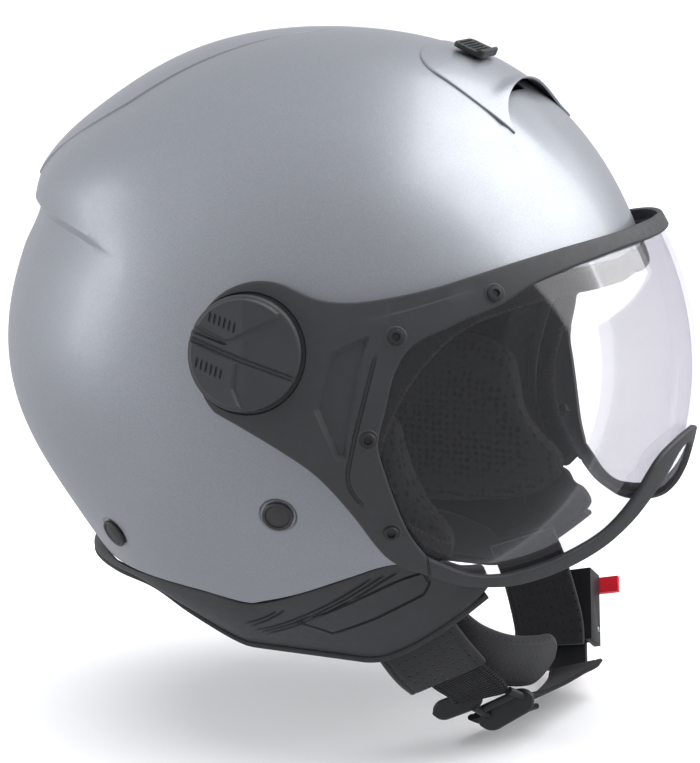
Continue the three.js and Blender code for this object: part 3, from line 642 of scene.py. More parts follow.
def plastic(name, colour, roughness, grain_mm, depth_mm):
    look = Look(name, colour, roughness)
    look.tint(look.noise(9), 0.9, 1.12)
    look.rough(look.noise(3), roughness - 0.05, roughness + 0.06)
    look.bump(look.cells(grain_mm), depth_mm)
    return look.material


def metal(name, colour, roughness):
    look = Look(name, colour, roughness, 1.0)
    look.tint(look.noise(1.2), 0.8, 1.1)
    look.rough(look.noise(0.4), roughness - 0.08, roughness + 0.12)
    look.bump(look.noise(0.5), 0.02)
    return look.material


def cloth(name, colour, roughness, sheen, on_uv=False):
    """Start of a fabric's or foam's look: hardly any gloss and, on some, a soft sheen."""
    look = Look(name, colour, roughness, on_uv=on_uv)
    look.set(Sheen_Weight=sheen, Specular_IOR_Level=0.15)
    return look


def foam():
    look = cloth("foam", (0.012, 0.012, 0.013), 0.85, 0.0)
    beads = look.cells(3.4)
    look.tint(beads, 1.4, 0.6)
    look.bump(beads, 0.35)
    return look.material


def spacer_mesh():
    """A springy knit with round holes, one every 3.2 mm, and painted shade darkening the holes."""
    look = cloth("lining_mesh", (0.012, 0.0123, 0.0132), 0.9, 0.0)
    holes = look.cells(3.2, 0.35)
    # painted shade: the holes darkened to near black and the threads between them lightened
    look.tint(look.remap(holes, 0.18, 0.42), 0.12, 1.25)
    look.bump(look.remap(holes, 0.1, 0.5), 0.5)
    look.bump(look.noise(0.5, 2), 0.06)
    return look.material


def knit():
    """Plain jersey with a stitch every 1.6 mm."""
    look = cloth("lining_fabric", (0.007, 0.0072, 0.008), 0.92, 0.05)
    look.tint(look.noise(5), 0.75, 1.25)
    look.bump(look.times(look.waves(1.6, "Z"), look.waves(1.6, "DIAGONAL")), 0.12)
    look.bump(look.noise(0.7, 2), 0.08)
    return look.material


def woven_tape():
    """Webbing: ribs across it every 1.3 mm, and yarns along it every 1.1 mm, with painted shade in
    the weave's hollows and painted highlight on its raised yarns.
    """
    look = cloth("webbing", (0.012, 0.0123, 0.0135), 0.8, 0.08, on_uv=True)
    weave = look.times(look.waves(1.3, "Y"), look.waves(1.1, "X"))
    # painted shade and highlight: the weave's hollows darkened and its raised yarns lightened, by the
    # mask of its bump
    look.tint(weave, 0.5, 1.8)
    look.bump(weave, 0.35)
    return look.material


def suede():
    """Brushed fabric with a grid of pin-prick holes, one every 3.6 mm, and painted shade darkening
    the holes.
    """
    look = cloth("suede", (0.022, 0.0222, 0.024), 0.95, 0.2, on_uv=True)
    pricks = look.remap(look.cells(3.6, 0.0), 0.08, 0.14)
    # painted shade: the pin-prick holes darkened to a quarter of the fabric's colour
    look.tint(pricks, 0.25, 1.0)
    look.bump(pricks, 0.15)
    look.bump(look.noise(0.6, 3), 0.12)
    return look.material


def clear_sheet():
    """See-through, with a lilac cast at a slant and a thin gloss that grows with the slant."""
    look = Look("clear_lens", (0.93, 0.92, 0.97), 0.03)
    slant = look.put("ShaderNodeLayerWeight", Blend=0.28)
    cast = look.between(slant.outputs["Facing"], (0.975, 0.972, 0.98), (0.93, 0.915, 0.955))
    clear = look.put("ShaderNodeBsdfTransparent", values=(cast,))
    smears = look.remap(look.noise(60), 0.3, 0.7, 0.03, 0.06)
    gloss = look.put("ShaderNodeBsdfGlossy", Roughness=smears)
    share = look.remap(slant.outputs["Fresnel"], 0.0, 1.0, 0.03, 0.35)
    blend = look.put("ShaderNodeMixShader", values=(share, clear.outputs[0], gloss.outputs[0]))
    look.feed(look.nodes["Material Output"].inputs["Surface"], blend.outputs[0])
    look.nodes.remove(look.bsdf)
    return look.material


# plastics: colour, roughness, size and depth of the grain in mm; metals: colour, roughness
PLASTICS = {
    "charcoal_plastic": ((0.027, 0.0275, 0.03), 0.5, 0.7, 0.03),
    "black_plastic": ((0.014, 0.0142, 0.016), 0.42, 1.0, 0.02),
    "red_plastic": ((0.62, 0.015, 0.03), 0.35, 1.0, 0.01),
    "edge_rubber": ((0.022, 0.0225, 0.024), 0.68, 0.8, 0.04),
}
METALS = {"steel": ((0.56, 0.565, 0.58), 0.32), "dark_steel": ((0.13, 0.128, 0.13), 0.45)}
LOOKS = {
    "silver_paint": silver_paint(), "foam": foam(), "lining_mesh": spacer_mesh(),
    "lining_fabric": knit(), "webbing": woven_tape(), "suede": suede(), "clear_lens": clear_sheet(),
    **{name: plastic(name, *spec) for name, spec in PLASTICS.items()},
    **{name: metal(name, *spec) for name, spec in METALS.items()},
}


def hand_in(piece, body, slot, node, look=None):
    """Finish a piece that stands for a CAD node and rides on its body."""
    piece.data.materials.clear()
    piece.data.materials.append(LOOKS[look or slot])
    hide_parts(node)
    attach(piece, body)


# ------------------------------------------------------------------ side-view outlines, [x, z]
BROW_TO_CHEEK = [[150, 54], [131, 53.5], [110, 51.5], [87, 41], [69.5, 17], [60, -14], [64.5, -38],
                 [81, -55]]
SHELL_HEM = [[81, -55], [66, -55.5], [52, -60.6], [32, -69], [16, -74.4], [7.6, -76], [-10, -72],
             [-31, -70], [-61, -69], [-100, -66], [-150, -64]]
WINDOW_TOP = [[170, 62], [141.5, 60.4], [132, 58.4], [116, 52], [106, 45]]
WINDOW_SIDE = [[106, 45], [92.6, 38.8], [80.3, 31.8], [75.2, 22], [73, 10], [70.6, -3], [73, -15],
               [78.7, -36.5], [83.6, -47.2]]
WINDOW_FOOT = [[83.6, -47.2], [88.2, -50.6], [95.8, -55.4], [104.5, -57.2], [115.8, -55.1],
               [124.6, -51.4], [133, -46.4], [138.8, -40.3], [144.1, -31.8], [149.3, -20.5],
               [152.7, -15.4], [156, -12], [170, 2]]
ARM_TOP = [[170, 67], [138.4, 66.3], [132.7, 65.2], [121, 62.7], [107.8, 59], [96.5, 55.3],
           [84.8, 51.6], [72.3, 48.7], [59.3, 46.8], [48, 47.5], [38, 51]]
ARM_FOOT = [[12.6, 6.3], [23.3, 1.2], [35.2, -5.3], [47, -13.1], [55.1, -21.6], [62.2, -32],
            [67.2, -41.5], [71.2, -47.6], [76, -51.4], [83, -54.8]]
TRIM_FOOT = [[83.6, -55.2], [91.6, -59.7], [100.3, -61.8], [108.7, -62.2], [120.4, -59.2],
             [132, -53.0], [139.9, -45.3], [145.4, -37], [149.7, -28.3], [152.4, -20.6], [156, -11],
             [170, 20]]
LENS_REAR = [[170, 65], [141, 64], [131, 62], [116, 57], [104, 53.2], [88, 46], [72, 40], [64, 24],
             [62, 0], [65.5, -22], [71, -41], [77, -50.5]]
LENS_FOOT = [[77, -50.5], [84, -53.6], [91.6, -57.9], [100.3, -60.0], [108.7, -60.6],
             [120.4, -57.6], [132, -51.5], [139.9, -43.8], [145.4, -35.5], [149.7, -26.8],
             [152.8, -18.6], [170, 16]]
LENS_SCREWS = [[103.3, 48.6], [74.8, 35], [67.3, -1.1], [73.2, -36.1]]
STRAP_RIVETS = {"front": [31.1, -33.9], "rear": [-45.3, -52.6]}

CROWN = CrownChart(SHELL)
FACE = FaceChart(VISOR)


def side_line(form, xz):
    """An [x, z] line laid on a form's right side, run out to the middle plane where it leaves it."""
    xz = resample(xz, 0.5)
    rho = np.hypot(xz[:, 0], xz[:, 1]) / profile_radius(form, np.arctan2(xz[:, 1], xz[:, 0]))
    on = np.flatnonzero(rho < 0.9995)
    first, last = on[0], on[-1]
    parts = [from_side(form, xz[first:last + 1], SIDES["right"])]
    for end, beyond in ((first, first - 1), (last, last + 1)):
        if 0 <= beyond < len(xz):
            share = (1 - rho[end]) / (rho[beyond] - rho[end])
            x, z = xz[end] + share * (xz[beyond] - xz[end])
            parts.insert(0 if end == first else len(parts), np.array([[x, 0.0, z]]))
    return np.vstack(parts)


def side_outline(chart, xz):
    """A loop in a chart, the same on both sides, from its right-hand half as [x, z] points."""
    right = side_line(chart.form, xz)
    return chart.flat(np.vstack([right, flip(right[-2:0:-1])]))


def spot(form, xz, side):
    """The point of a form seen at [x, z] from the side, and the direction out from it."""
    point = from_side(form, xz, side)
    return point[0], normal_of(form, point)[0]


def circle(radius, count):
    angles = np.linspace(0, 2 * np.pi, count, endpoint=False)
    return np.stack([np.cos(angles), np.sin(angles)], 1) * radius


def disc_hole(chart, centre, normal, radius, count=32):
    """A round hole's loop in a chart, from its centre and axis."""
    a, b, _ = turn_frame(normal)
    ring = circle(radius, count)
    return chart.flat(centre + ring[:, :1] * a + ring[:, 1:] * b)


# ------------------------------------------------------------------ shell
CROWN_LINE = [[14, -8, 138], [-2, -19, 136], [-17, -31, 132], [-32, -42, 126], [-48, -52, 116],
              [-60, -57, 107], [-80, -55, 90], [-97, -46, 76], [-105, -27, 75], [-108, 0, 75]]
CROWN_DROPS = [0, 0.3, 0.6, 0.7, 0.7, 0.7, 0.6, 0.3, 0]
# paired ledges: line on the right, drops along it, wall, fade
LEDGES = [([[-32, -108, 56], [-55, -96, 63], [-86, -70, 68], [-103, -40, 69]],
           [0, 1.4, 2.8, 3.2, 2.6], 2.6, 20),
          ([[121, -42, 72], [110, -41, 87], [98, -38, 100]], [0, 0.3, 0.7], 3.0, 18)]
VENT_SLOT = {"angle": math.radians(56), "length": 26.0, "height": 9.0, "corner": 2.5}
RIVET_HOLE, RIVET_DISH = 3.2, 7.4  # radii
PIVOT_HOLE, PIVOT_OUT = 8.9, 119.0  # its radius, and how far out the shell's face is there
MOUTH_X, MOUTH_DEPTH = 87, 2.4
CREST_Z, CREST_RISE = 79, 7.0


def slot_loop(grow):
    """The vent's slot through the shell, or a larger one round it."""
    centre = on_form(SHELL, [[math.cos(VENT_SLOT["angle"]), 0, math.sin(VENT_SLOT["angle"])]])
    down = np.cross([0, 1, 0], normal_of(SHELL, centre)[0])
    loop = lozenge(VENT_SLOT["height"] + grow, VENT_SLOT["length"] + grow, VENT_SLOT["corner"], 3)
    return CROWN.flat(centre + loop[:, :1] * down + loop[:, 1:] * np.array([0, 1, 0]))


def build_shell():
    outline = side_outline(CROWN, np.vstack([spline(BROW_TO_CHEEK, 60), spline(SHELL_HEM, 60)[1:]]))
    edge = CROWN.flat(spline(np.vstack([CROWN_LINE, flip(CROWN_LINE)[-2::-1]]), 200))
    reliefs = [Ledge(CROWN, edge, CROWN_DROPS, 0.6, 18),
               Groove(CROWN, edge, 0.5, 0.7, wall=0.4, runout=30)]
    for line, drops, wall, fade in LEDGES:
        reliefs += [Ledge(CROWN, CROWN.flat(spline(line, 30)), drops, wall, fade),
                    Ledge(CROWN, CROWN.flat(spline(flip(line)[::-1], 30)), drops[::-1], wall, fade)]
    holes = [slot_loop(0)]
    for sign in SIDES.values():
        for xz in STRAP_RIVETS.values():
            centre, normal = spot(SHELL, xz, sign)
            holes.append(disc_hole(CROWN, centre, normal, RIVET_HOLE))
            reliefs.append(Pocket(CROWN, disc_hole(CROWN, centre, normal, RIVET_DISH), 0.5, 0.8))
        pivot = np.array([PIVOT[0], sign * PIVOT_OUT, PIVOT[2]])
        holes.append(disc_hole(CROWN, pivot, [0, sign, 0], PIVOT_HOLE))

    def swell(uv, p, gap):
        """Sunk where the vent's mouth is, and full at the back of the crown, above the rear folds."""
        ahead = (p[:, 0] - MOUTH_X) / np.where(p[:, 0] > MOUTH_X, 24, 13)
        mouth = -MOUTH_DEPTH * np.exp(-(ahead ** 2) - (p[:, 1] / 25) ** 4) * (p[:, 2] > 0)
        height = (p[:, 2] - CREST_Z) / np.where(p[:, 2] > CREST_Z, 26, 15)
        return mouth + CREST_RISE * np.exp(-(height ** 2)) * ease((-p[:, 0] - 10) / 80)

    piece = panel("shell", CROWN, outline, SHELL_WALL, holes=holes, reliefs=reliefs, swell=swell,
                  sharp=24)
    hand_in(piece, "helmet", "silver_paint", "outer_shell")


# ------------------------------------------------------------------ roof vent
# half of the hood's edge from above, [x, y]: round its back and side, then in along its lip
HOOD_REAR = [[49, 0], [49.4, 12], [52, 24], [58, 31.5], [67, 34.5], [80, 36], [94.5, 34.5]]
HOOD_LIP = [[94.5, 34.5], [88.5, 27.5], [85.5, 17], [84, 0]]
HOOD_WALL, HOOD_GAP = 1.1, 0.7  # the gap is that of its face at the edge
LIP_X, LIP_RISE = 80.5, 2.6
SLIDER_SEAT = [66, 0, 129.5]  # in line with the pole
SLIDER_RIBS = [-4.5, -2.7, -0.9, 0.9, 2.7]
SLIDER_TOP, SLIDER_THICK = 4.6, 1.9


def on_shell_above(xy):
    """Points of the shell above [x, y] places on its crown."""
    p = np.column_stack([xy, np.full(len(xy), 100.0)])
    for _ in range(30):
        slope = (level(SHELL, p + [0, 0, 0.1]) - level(SHELL, p - [0, 0, 0.1])) / 0.2
        p[:, 2] -= np.clip(level(SHELL, p) / slope, -20, 20)
    return p


def build_vent():
    half = np.vstack([spline(HOOD_REAR, 50), spline(HOOD_LIP, 30)[1:]])
    loop = np.vstack([half, (half * [1, -1])[-2:0:-1]])
    outline = CROWN.flat(on_shell_above(resample(loop, 1.0, True)))

    def rise(uv, p, gap):
        """A low dome with a lip that opens forward."""
        across = 1 - np.clip(np.abs(p[:, 1]) / 36, 0, 1) ** 2.2
        lip = ease((p[:, 0] - LIP_X) / 4.5) * (1 - np.clip(np.abs(p[:, 1]) / 31, 0, 1) ** 2.4)
        return ease((p[:, 0] - 50) / 16) * across + LIP_RISE * lip

    piece = panel("vent_hood", CROWN, outline, HOOD_WALL, base=HOOD_GAP, edge=0.5, spacing=1.8,
                  step=1.0, swell=rise, follow=True)
    hand_in(piece, "helmet", "silver_paint", "vent_cover")


def build_slider():
    """The vent's slider: a low block with cross ribs and a raised lip at its front."""
    seat = on_form(SHELL, unit([SLIDER_SEAT]))
    normal = normal_of(SHELL, seat)[0]
    chart = PlaneChart(seat[0], normal, np.cross([0, 1, 0], normal), [0, 1, 0])
    ribs = [Groove(chart, [[x, -8], [x, 8]], 0.7, 0.8, runout=1.2) for x in SLIDER_RIBS]
    piece = panel("vent_thumb_slide", chart, lozenge(13.0, 20.0, 3.0, 6), SLIDER_THICK,
                  base=SLIDER_TOP, reliefs=ribs, edge=0.6, spacing=0.9, step=0.6,
                  swell=lambda uv, p, gap: 1.2 * ease((uv[:, 0] - 3.4) / 1.6))
    hand_in(piece, "vent_shutter", "black_plastic", "vent_slider")


# ------------------------------------------------------------------ foam and lining
FOAM_FOOT = [[60, -54], [20, -61], [-60, -62], [-150, -60]]
LINING_BROW = [[200, 51], [118, 49], [88, 44], [60, 40], [20, 16], [-60, 10], [-150, 9]]
PAD_OUTLINE = [[84, -48], [80, -60], [60, -69], [20, -72], [-5, -66], [-12, -40], [0, -8], [30, 4],
               [58, -2], [66, -20], [73, -34]]
PAD_CREASE = [[6, -52], [16, -30], [34, -12], [56, -10]]
PAD_OUT = 62.0  # from the middle plane
PAD_WALL, ROLL_WALL, LINING_WALL = 13.0, 9.0, 7.0
ROLL_TOP = [[-24, -25], [-60, -25], [-150, -25]]
ROLL_FOOT = [[-150, -61], [-60, -61], [-24, -61]]
PIPING_WIDE, PIPING_THICK, PIPING_AHEAD = 8.6, 4.6, 4.4
PIPING_STEP, RIB_PITCH, RIB_DEPTH = 0.7, 2.1, 0.06
CLOTH = {"quality": 5, "mass": 0.3, "use_pressure": True, "tension_stiffness": 15,
         "compression_stiffness": 15, "bending_stiffness": 2}
CLOTH_FRAMES = 20
CLOTH_VOXEL_MM = 4.5


def build_lining():
    face = spline(BROW_TO_CHEEK, 60) + [-3, 1.5]
    outline = side_outline(CROWN, np.vstack([face[face[:, 1] > -52], FOAM_FOOT]))
    piece = panel("foam_liner", CROWN, outline, FOAM_WALL, base=-FOAM_FACE, holes=[slot_loop(4)],
                  edge=1.5, back_edge=3, spacing=7, step=3)
    hand_in(piece, "helmet", "foam", "eps_liner")
    piece = panel("crown_lining", CROWN, side_outline(CROWN, spline(LINING_BROW, 60)), LINING_WALL,
                  base=-LINER_DEPTH - 1.2, edge=2.5, back_edge=2.5, spacing=6, step=2.5,
                  swell=lambda uv, p, gap: 1.2 * ease(gap / 9))
    hand_in(piece, "helmet", "lining_mesh", "crown_liner", look="lining_fabric")


def build_brow_piping():
    """The soft edging round the face opening: ribbed fabric folded over the shell's edge."""
    right = from_side(SHELL, spline(BROW_TO_CHEEK[1:], 60), SIDES["right"], -SHELL_WALL / 2)
    brow = on_form(SHELL, unit([[129, 0, 54]])) - [0.8, 0, 0]
    half = np.vstack([right[::-1], brow])
    path = spline(resample(np.vstack([half, flip(half)[-2::-1]]), 12), 600)
    path = resample(path, PIPING_STEP)
    ahead = unit(np.cross(unit(np.gradient(path, axis=0)), normal_of(SHELL, path)))
    turns = 2 * np.pi * np.arange(len(path)) * PIPING_STEP / RIB_PITCH
    ribs = 1 + RIB_DEPTH * np.cos(turns)
    sections = lozenge(PIPING_WIDE, PIPING_THICK, 2.2, 4) * ribs[:, None, None]
    piece = sweep("brow_piping", path + PIPING_AHEAD * ahead, ahead, sections)
    hand_in(piece, "helmet", "edge_rubber", "face_edge_trim", look="lining_fabric")


def pillow(name, chart, outline, thick, base, fullness, pressure, cap_mm, reliefs=()):
    """A padded panel, full in its middle, then blown up a little as cloth."""
    piece = panel(name, chart, outline, thick, base=base, edge=4.5, back_edge=4.5, spacing=5.0,
                  step=2.2, swell=lambda uv, p, gap: fullness * np.sqrt(np.clip(gap / 16, 0, 1)),
                  reliefs=reliefs)
    inflate(piece, pressure, cap_mm)
    return piece


def points_of(piece):
    return np.array([v.co[:] for v in piece.data.vertices])


def inflate(piece, pressure, cap_mm):
    """Blow a closed pad up as cloth, holding its points within a cap, then smooth it."""
    bpy.context.view_layer.objects.active = piece
    remesh = piece.modifiers.new("Remesh", "REMESH")
    remesh.mode = "VOXEL"
    remesh.voxel_size = CLOTH_VOXEL_MM * MM
    apply_modifiers(piece)
    start = points_of(piece)
    cloth_step = piece.modifiers.new("Cloth", "CLOTH")
    for key, value in CLOTH.items():
        setattr(cloth_step.settings, key, value)
    cloth_step.settings.uniform_pressure_force = pressure
    cloth_step.settings.effector_weights.gravity = 0
    cloth_step.point_cache.frame_start = 1
    cloth_step.point_cache.frame_end = CLOTH_FRAMES
    for number in range(1, CLOTH_FRAMES + 1):
        bpy.context.scene.frame_set(number)
    apply_modifiers(piece)
    shift = points_of(piece) - start
    size = np.linalg.norm(shift, axis=1, keepdims=True)
    held = start + shift * np.minimum(1, cap_mm * MM / np.maximum(size, 1e-9))
    piece.data.vertices.foreach_set("co", held.ravel())
    soft = piece.modifiers.new("Subdivision", "SUBSURF")
    soft.levels = soft.render_levels = 1
    apply_modifiers(piece)
    piece.data.polygons.foreach_set("use_smooth", [True] * len(piece.data.polygons))
    bpy.context.scene.frame_set(1)


def apply_modifiers(piece):
    graph = bpy.context.evaluated_depsgraph_get()
    mesh = bpy.data.meshes.new_from_object(piece.evaluated_get(graph))
    piece.modifiers.clear()
    piece.data = mesh


def build_neck_roll():
    top, low = side_line(SHELL, ROLL_TOP), side_line(SHELL, ROLL_FOOT)
    loop = np.vstack([top, flip(top)[-2::-1], flip(low)[::-1][1:], low[1:]])
    piece = pillow("neck_pad", CROWN, CROWN.flat(loop), ROLL_WALL, -LINER_DEPTH - 1,
                   fullness=1.0, pressure=3.0, cap_mm=4)
    hand_in(piece, "helmet", "lining_fabric", "neck_roll")


def build_cheek_pad(name, sign):
    chart = PlaneChart([0, sign * PAD_OUT, 0], [0, -sign, 0], [1, 0, 0], [0, 0, 1])
    crease = Groove(chart, PAD_CREASE, 1.2, 2.0, wall=2.5)
    piece = pillow(f"cheek_cushion_{name}", chart, spline(PAD_OUTLINE, 90, closed=True), PAD_WALL,
                   0.0, fullness=2.2, pressure=4.0, cap_mm=5, reliefs=[crease])
    hand_in(piece, "helmet", "lining_fabric", f"cheek_pad_{name}", look="lining_mesh")


# ------------------------------------------------------------------ base moulding
BASE_FOOT = [[97, -66, -69], [88, -70, -77], [78, -71, -85], [66, -72, -93], [53, -73, -98],
             [30, -73, -99], [9, -73, -98.8], [-4, -73, -97], [-23, -76, -87], [-39.5, -76, -78],
             [-60, -69, -75], [-78, -52, -74], [-88, -28, -73.5], [-91, 0, -73]]
BASE_FLOOR = -98.3
BASE_WALL = 2.6
BASE_TUCK = -1.3  # how far down the band its top edge is: a little above the hem
# along and down the band, from its right front end
BASE_GROOVES = [[[38, 0.9], [91.5, 17.2]], [[43, 0.9], [94, 16.2]], [[48, 0.9], [96.5, 15.2]],
                [[81, 4.0], [97, 12.6]], [[84.5, 3.8], [99, 11.4]]]
BASE_INSET = [[77, 11.4], [62, 17.6], [44, 13.2], [27.5, 8.6], [25.4, 5.4], [28.6, 1.6]]


def under_hem(foot):
    """The moulding's top edge above a point of its foot: on the shell's form, just under the hem."""
    hem = spline(SHELL_HEM, 60)[::-1]
    azimuth = math.atan2(foot[1], foot[0])
    x = foot[0]
    for _ in range(8):
        z = (-57 if x > 84 else np.interp(x, hem[:, 0], hem[:, 1])) - 1.5
        low, high = 0.0, 160.0
        for _ in range(40):
            r = (low + high) / 2
            p = np.array([[r * math.cos(azimuth), r * math.sin(azimuth), z]])
            low, high = (r, high) if level(SHELL, p)[0] < 0 else (low, r)
        x = p[0, 0]
    return p[0]


def outward_flat(p):
    return unit(p * [1, 1, 0])


class BandChart:
    """Flat coordinates round the neck: `along` from the right front end to the left, and `down`."""

    tall = 26.0

    def __init__(self):
        foot = np.array(BASE_FOOT, float)
        top = np.array([under_hem(p) for p in foot])
        self.foot, self.top = (spline(np.vstack([p, flip(p)[-2::-1]]), 520) for p in (foot, top))
        self.foot[:, 2] = np.maximum(self.foot[:, 2], BASE_FLOOR)
        self.at = lengths((self.foot + self.top) / 2)
        self.length = self.at[-1]

    def ground(self, uv):
        low, high = (np.stack([np.interp(uv[:, 0], self.at, edge[:, k]) for k in range(3)], 1)
                     for edge in (self.foot, self.top))
        w = uv[:, 1:] / self.tall
        return high + (low - high) * w + outward_flat(high) * 8 * w * (1 - w)

    def point(self, uv, offset=0.0):
        step = 0.6
        du = self.ground(uv + [step, 0]) - self.ground(uv - [step, 0])
        dv = self.ground(uv + [0, step]) - self.ground(uv - [0, step])
        out = np.cross(dv, du)
        ground = self.ground(uv)
        out *= np.sign((out * outward_flat(ground)).sum(1, keepdims=True))
        return ground + np.reshape(offset, (-1, 1)) * unit(out)


def build_base():
    band = BandChart()
    small, large = 2.0, 9.0  # corner radii at the top and at the foot
    top, low = BASE_TUCK + small, band.tall - large
    outline = arcs([(band.length - small, top, small, 270), (band.length - large, low, large, 0),
                    (large, low, large, 90), (small, top, small, 180)], 6)
    reliefs = []
    for start, turn in ((0, 1), (band.length, -1)):
        def at(points):
            return np.array(points) * [turn, 1] + [start, 0]
        for line in BASE_GROOVES:
            reliefs.append(Groove(band, at(line), 0.5, 0.8, wall=0.45, runout=3))
        loop = resample(at(BASE_INSET), 1, True)
        reliefs.append(Groove(band, loop, 0.6, 0.9, wall=0.4, closed=True))
    piece = panel("base_ring", band, outline, BASE_WALL, reliefs=reliefs, edge=0.9, spacing=2.6,
                  sharp=24)
    hand_in(piece, "helmet", "charcoal_plastic", "base_moulding")
    foot = resample(band.foot, 3.0)
    out = outward_flat(foot)
    edge = sweep("base_edge_roll", foot - 1.4 * out - [0, 0, 0.8], out, lozenge(4.0, 2.6, 1.25, 4))
    hand_in(edge, "helmet", "edge_rubber", "base_edge_trim")


# ------------------------------------------------------------------ visor
ARM_CREASE = [[66, 40.5], [80, 44.5], [96, 49.5]]
ARM_SEAM = [[69, 30], [66, 14], [61.8, -6], [60.2, -15], [61.5, -21], [65.5, -27]]
ARM_RECESS = [[65.6, 35.7], [52.5, 29.2], [48.6, 9.5], [56.5, -9], [60.3, -9], [66.9, 35.7]]
ARM_REAR = {"degrees": [58, 100, 140, 180, 222, 243], "radius": [26.9, 24.3, 22.2, 21.4, 22.0, 24.6]}
SCREW_HOLE, SCREW_BOSS, KNOB_SEAT = 1.7, 4.0, 22.3  # radii
NUT = {"segments": 36, "hexagonal": (1, 2, 3, 4), "bored": True}


def arm_rear_arc():
    """The arm's rounded end: its edge eases from the top's last point to the foot's first."""
    degrees = np.linspace(ARM_REAR["degrees"][0], ARM_REAR["degrees"][-1], 40)
    radius = np.interp(degrees, ARM_REAR["degrees"], ARM_REAR["radius"])
    angles = np.radians(degrees)
    return np.stack([PIVOT[0] + radius * np.cos(angles), PIVOT[2] + radius * np.sin(angles)], 1)


def build_visor():
    half = np.vstack([spline(ARM_TOP, 60), arm_rear_arc()[1:-1], spline(ARM_FOOT, 50),
                      spline(WINDOW_SIDE, 60)[::-1], spline(WINDOW_TOP, 30)[::-1][1:]])
    reliefs, holes = [], []
    for sign in SIDES.values():
        paths = resample(ARM_RECESS, 1.0, True), spline(ARM_SEAM, 40), spline(ARM_CREASE, 20)
        recess, seam, crease = (FACE.flat(from_side(VISOR, path, sign)) for path in paths)
        seat = disc_hole(FACE, *spot(VISOR, PIVOT[[0, 2]], sign), KNOB_SEAT, 60)
        reliefs += [Pocket(FACE, recess, 1.7, 1.9),
                    Groove(FACE, seam, 0.7, 0.8, wall=0.6, runout=4),
                    Ledge(FACE, crease[::-sign], [0.2, 0.5, 0.5, 0.2], 0.8, 7),
                    Pocket(FACE, seat, 0.8, 0.6)]
        for xz in LENS_SCREWS:
            centre, normal = spot(VISOR, xz, sign)
            holes.append(disc_hole(FACE, centre, normal, SCREW_HOLE, 20))
            boss = disc_hole(FACE, centre, normal, SCREW_BOSS, 30)
            reliefs.append(Pocket(FACE, boss, -0.35, 0.5))
    frame_wall = FRAME_TOP - FRAME_BASE
    piece = panel("visor_surround", FACE, side_outline(FACE, half), frame_wall, base=FRAME_TOP,
                  holes=holes, reliefs=reliefs, edge=0.9, step=1.2, sharp=24)
    hand_in(piece, "visor", "charcoal_plastic", "visor_frame")
    half = np.vstack([spline(TRIM_FOOT, 60)[::-1], spline(WINDOW_FOOT, 60)])
    piece = panel("visor_chin_trim", FACE, side_outline(FACE, half), frame_wall, base=FRAME_TOP,
                  edge=0.9, spacing=2.6, step=1.4)
    hand_in(piece, "visor", "charcoal_plastic", "visor_lower_trim")
    half = np.vstack([spline(LENS_REAR, 60), spline(LENS_FOOT, 60)[1:]])
    piece = panel("visor_screen", FACE, side_outline(FACE, half), LENS_WALL, holes=holes, edge=0.5,
                  spacing=4.5, step=2.0)
    hand_in(piece, "visor", "clear_lens", "visor_lens")


def build_lens_fasteners():
    top = FRAME_TOP + 0.35
    under = -LENS_WALL
    screw = [[0.01, under - 1.85], [0.9, under - 1.85], [1.2, under - 1.6], [1.2, top], [2.7, top],
             [2.85, top + 0.2], [2.85, top + 0.7], [2.5, top + 1.15], [1.75, top + 1.35],
             [1.45, top + 1.3], [1.3, top + 0.4], [0.01, top + 0.4]]
    nut = [[1.6, under - 2.3], [2.7, under - 2.3], [3.0, under - 2.1], [3.0, under - 1.3],
           [2.7, under - 1.1], [1.6, under - 1.1]]
    kinds = {"screw": (screw, {"segments": 36, "hexagonal": (10, 11)}), "nut": (nut, NUT)}
    for name, sign in SIDES.items():
        for number, xz in enumerate(LENS_SCREWS, 1):
            centre, normal = spot(VISOR, xz, sign)
            for kind, (profile, how) in kinds.items():
                piece = lathe(f"frame_{kind}_{name}_{number}", profile, centre, normal, **how)
                hand_in(piece, "visor", "black_plastic", f"lens_{kind}_{name}_{number}")


# ------------------------------------------------------------------ visor pivots
KNOB_RADIUS, KNOB_RIM = 21.0, 19.9
KNOB_TOP = 6.6
KNOB_GAP = 0.35
PLATE_RISE = 1.0


def rim_arc(start, end):
    """Points along the knob's inner rim between two angles in degrees."""
    angles = np.radians(np.linspace(start, end, 12))
    return [[KNOB_RIM * math.cos(a), KNOB_RIM * math.sin(a)] for a in angles]


UPPER_GRIP = [[12.3, 13.3], [-2.7, 4.8], [-5.8, 3.8], [-17.4, 8.4], *rim_arc(154, 50)]
LOWER_GRIP = [*rim_arc(276, 172), [-18.0, 2.4], [-1.2, -3.3], [-1.7, -12.7]]
FINGER_SLOT = [[-19.6, 8.8], [-6.0, 3.6], [-4.9, 2.7], [-6.5, 2.4], [-20.2, 6.2]]
KNOB_SPLIT = np.array([[-22, 5.3], [1.8, -2.1], [20, -7.6]])
RIB_ROWS = [[-12.4, 12.2], [-16.4, -4.6]]  # each row's first rib, of six
# [radius, distance out from the middle plane], look and lathe options
HINGE = {
    "bush": ([[2.6, 104], [8.1, 104], [8.5, 104.4], [8.5, 119.9], [8.1, 120.25], [2.6, 120.25]],
             "black_plastic", {"bored": True}),
    "screw": ([[0.01, 99], [1.8, 99], [2.1, 99.4], [2.1, 124.15], [5.3, 124.15], [5.5, 124.4],
               [5.5, 125.3], [5.0, 125.75], [2.4, 125.75], [2.2, 124.8], [0.01, 124.8]],
              "steel", {"hexagonal": (9, 10)}),
    "nut": ([[2.6, 100.5], [6.4, 100.5], [7, 101], [7, 103.1], [6.4, 103.6], [2.6, 103.6]],
            "steel", NUT),
}


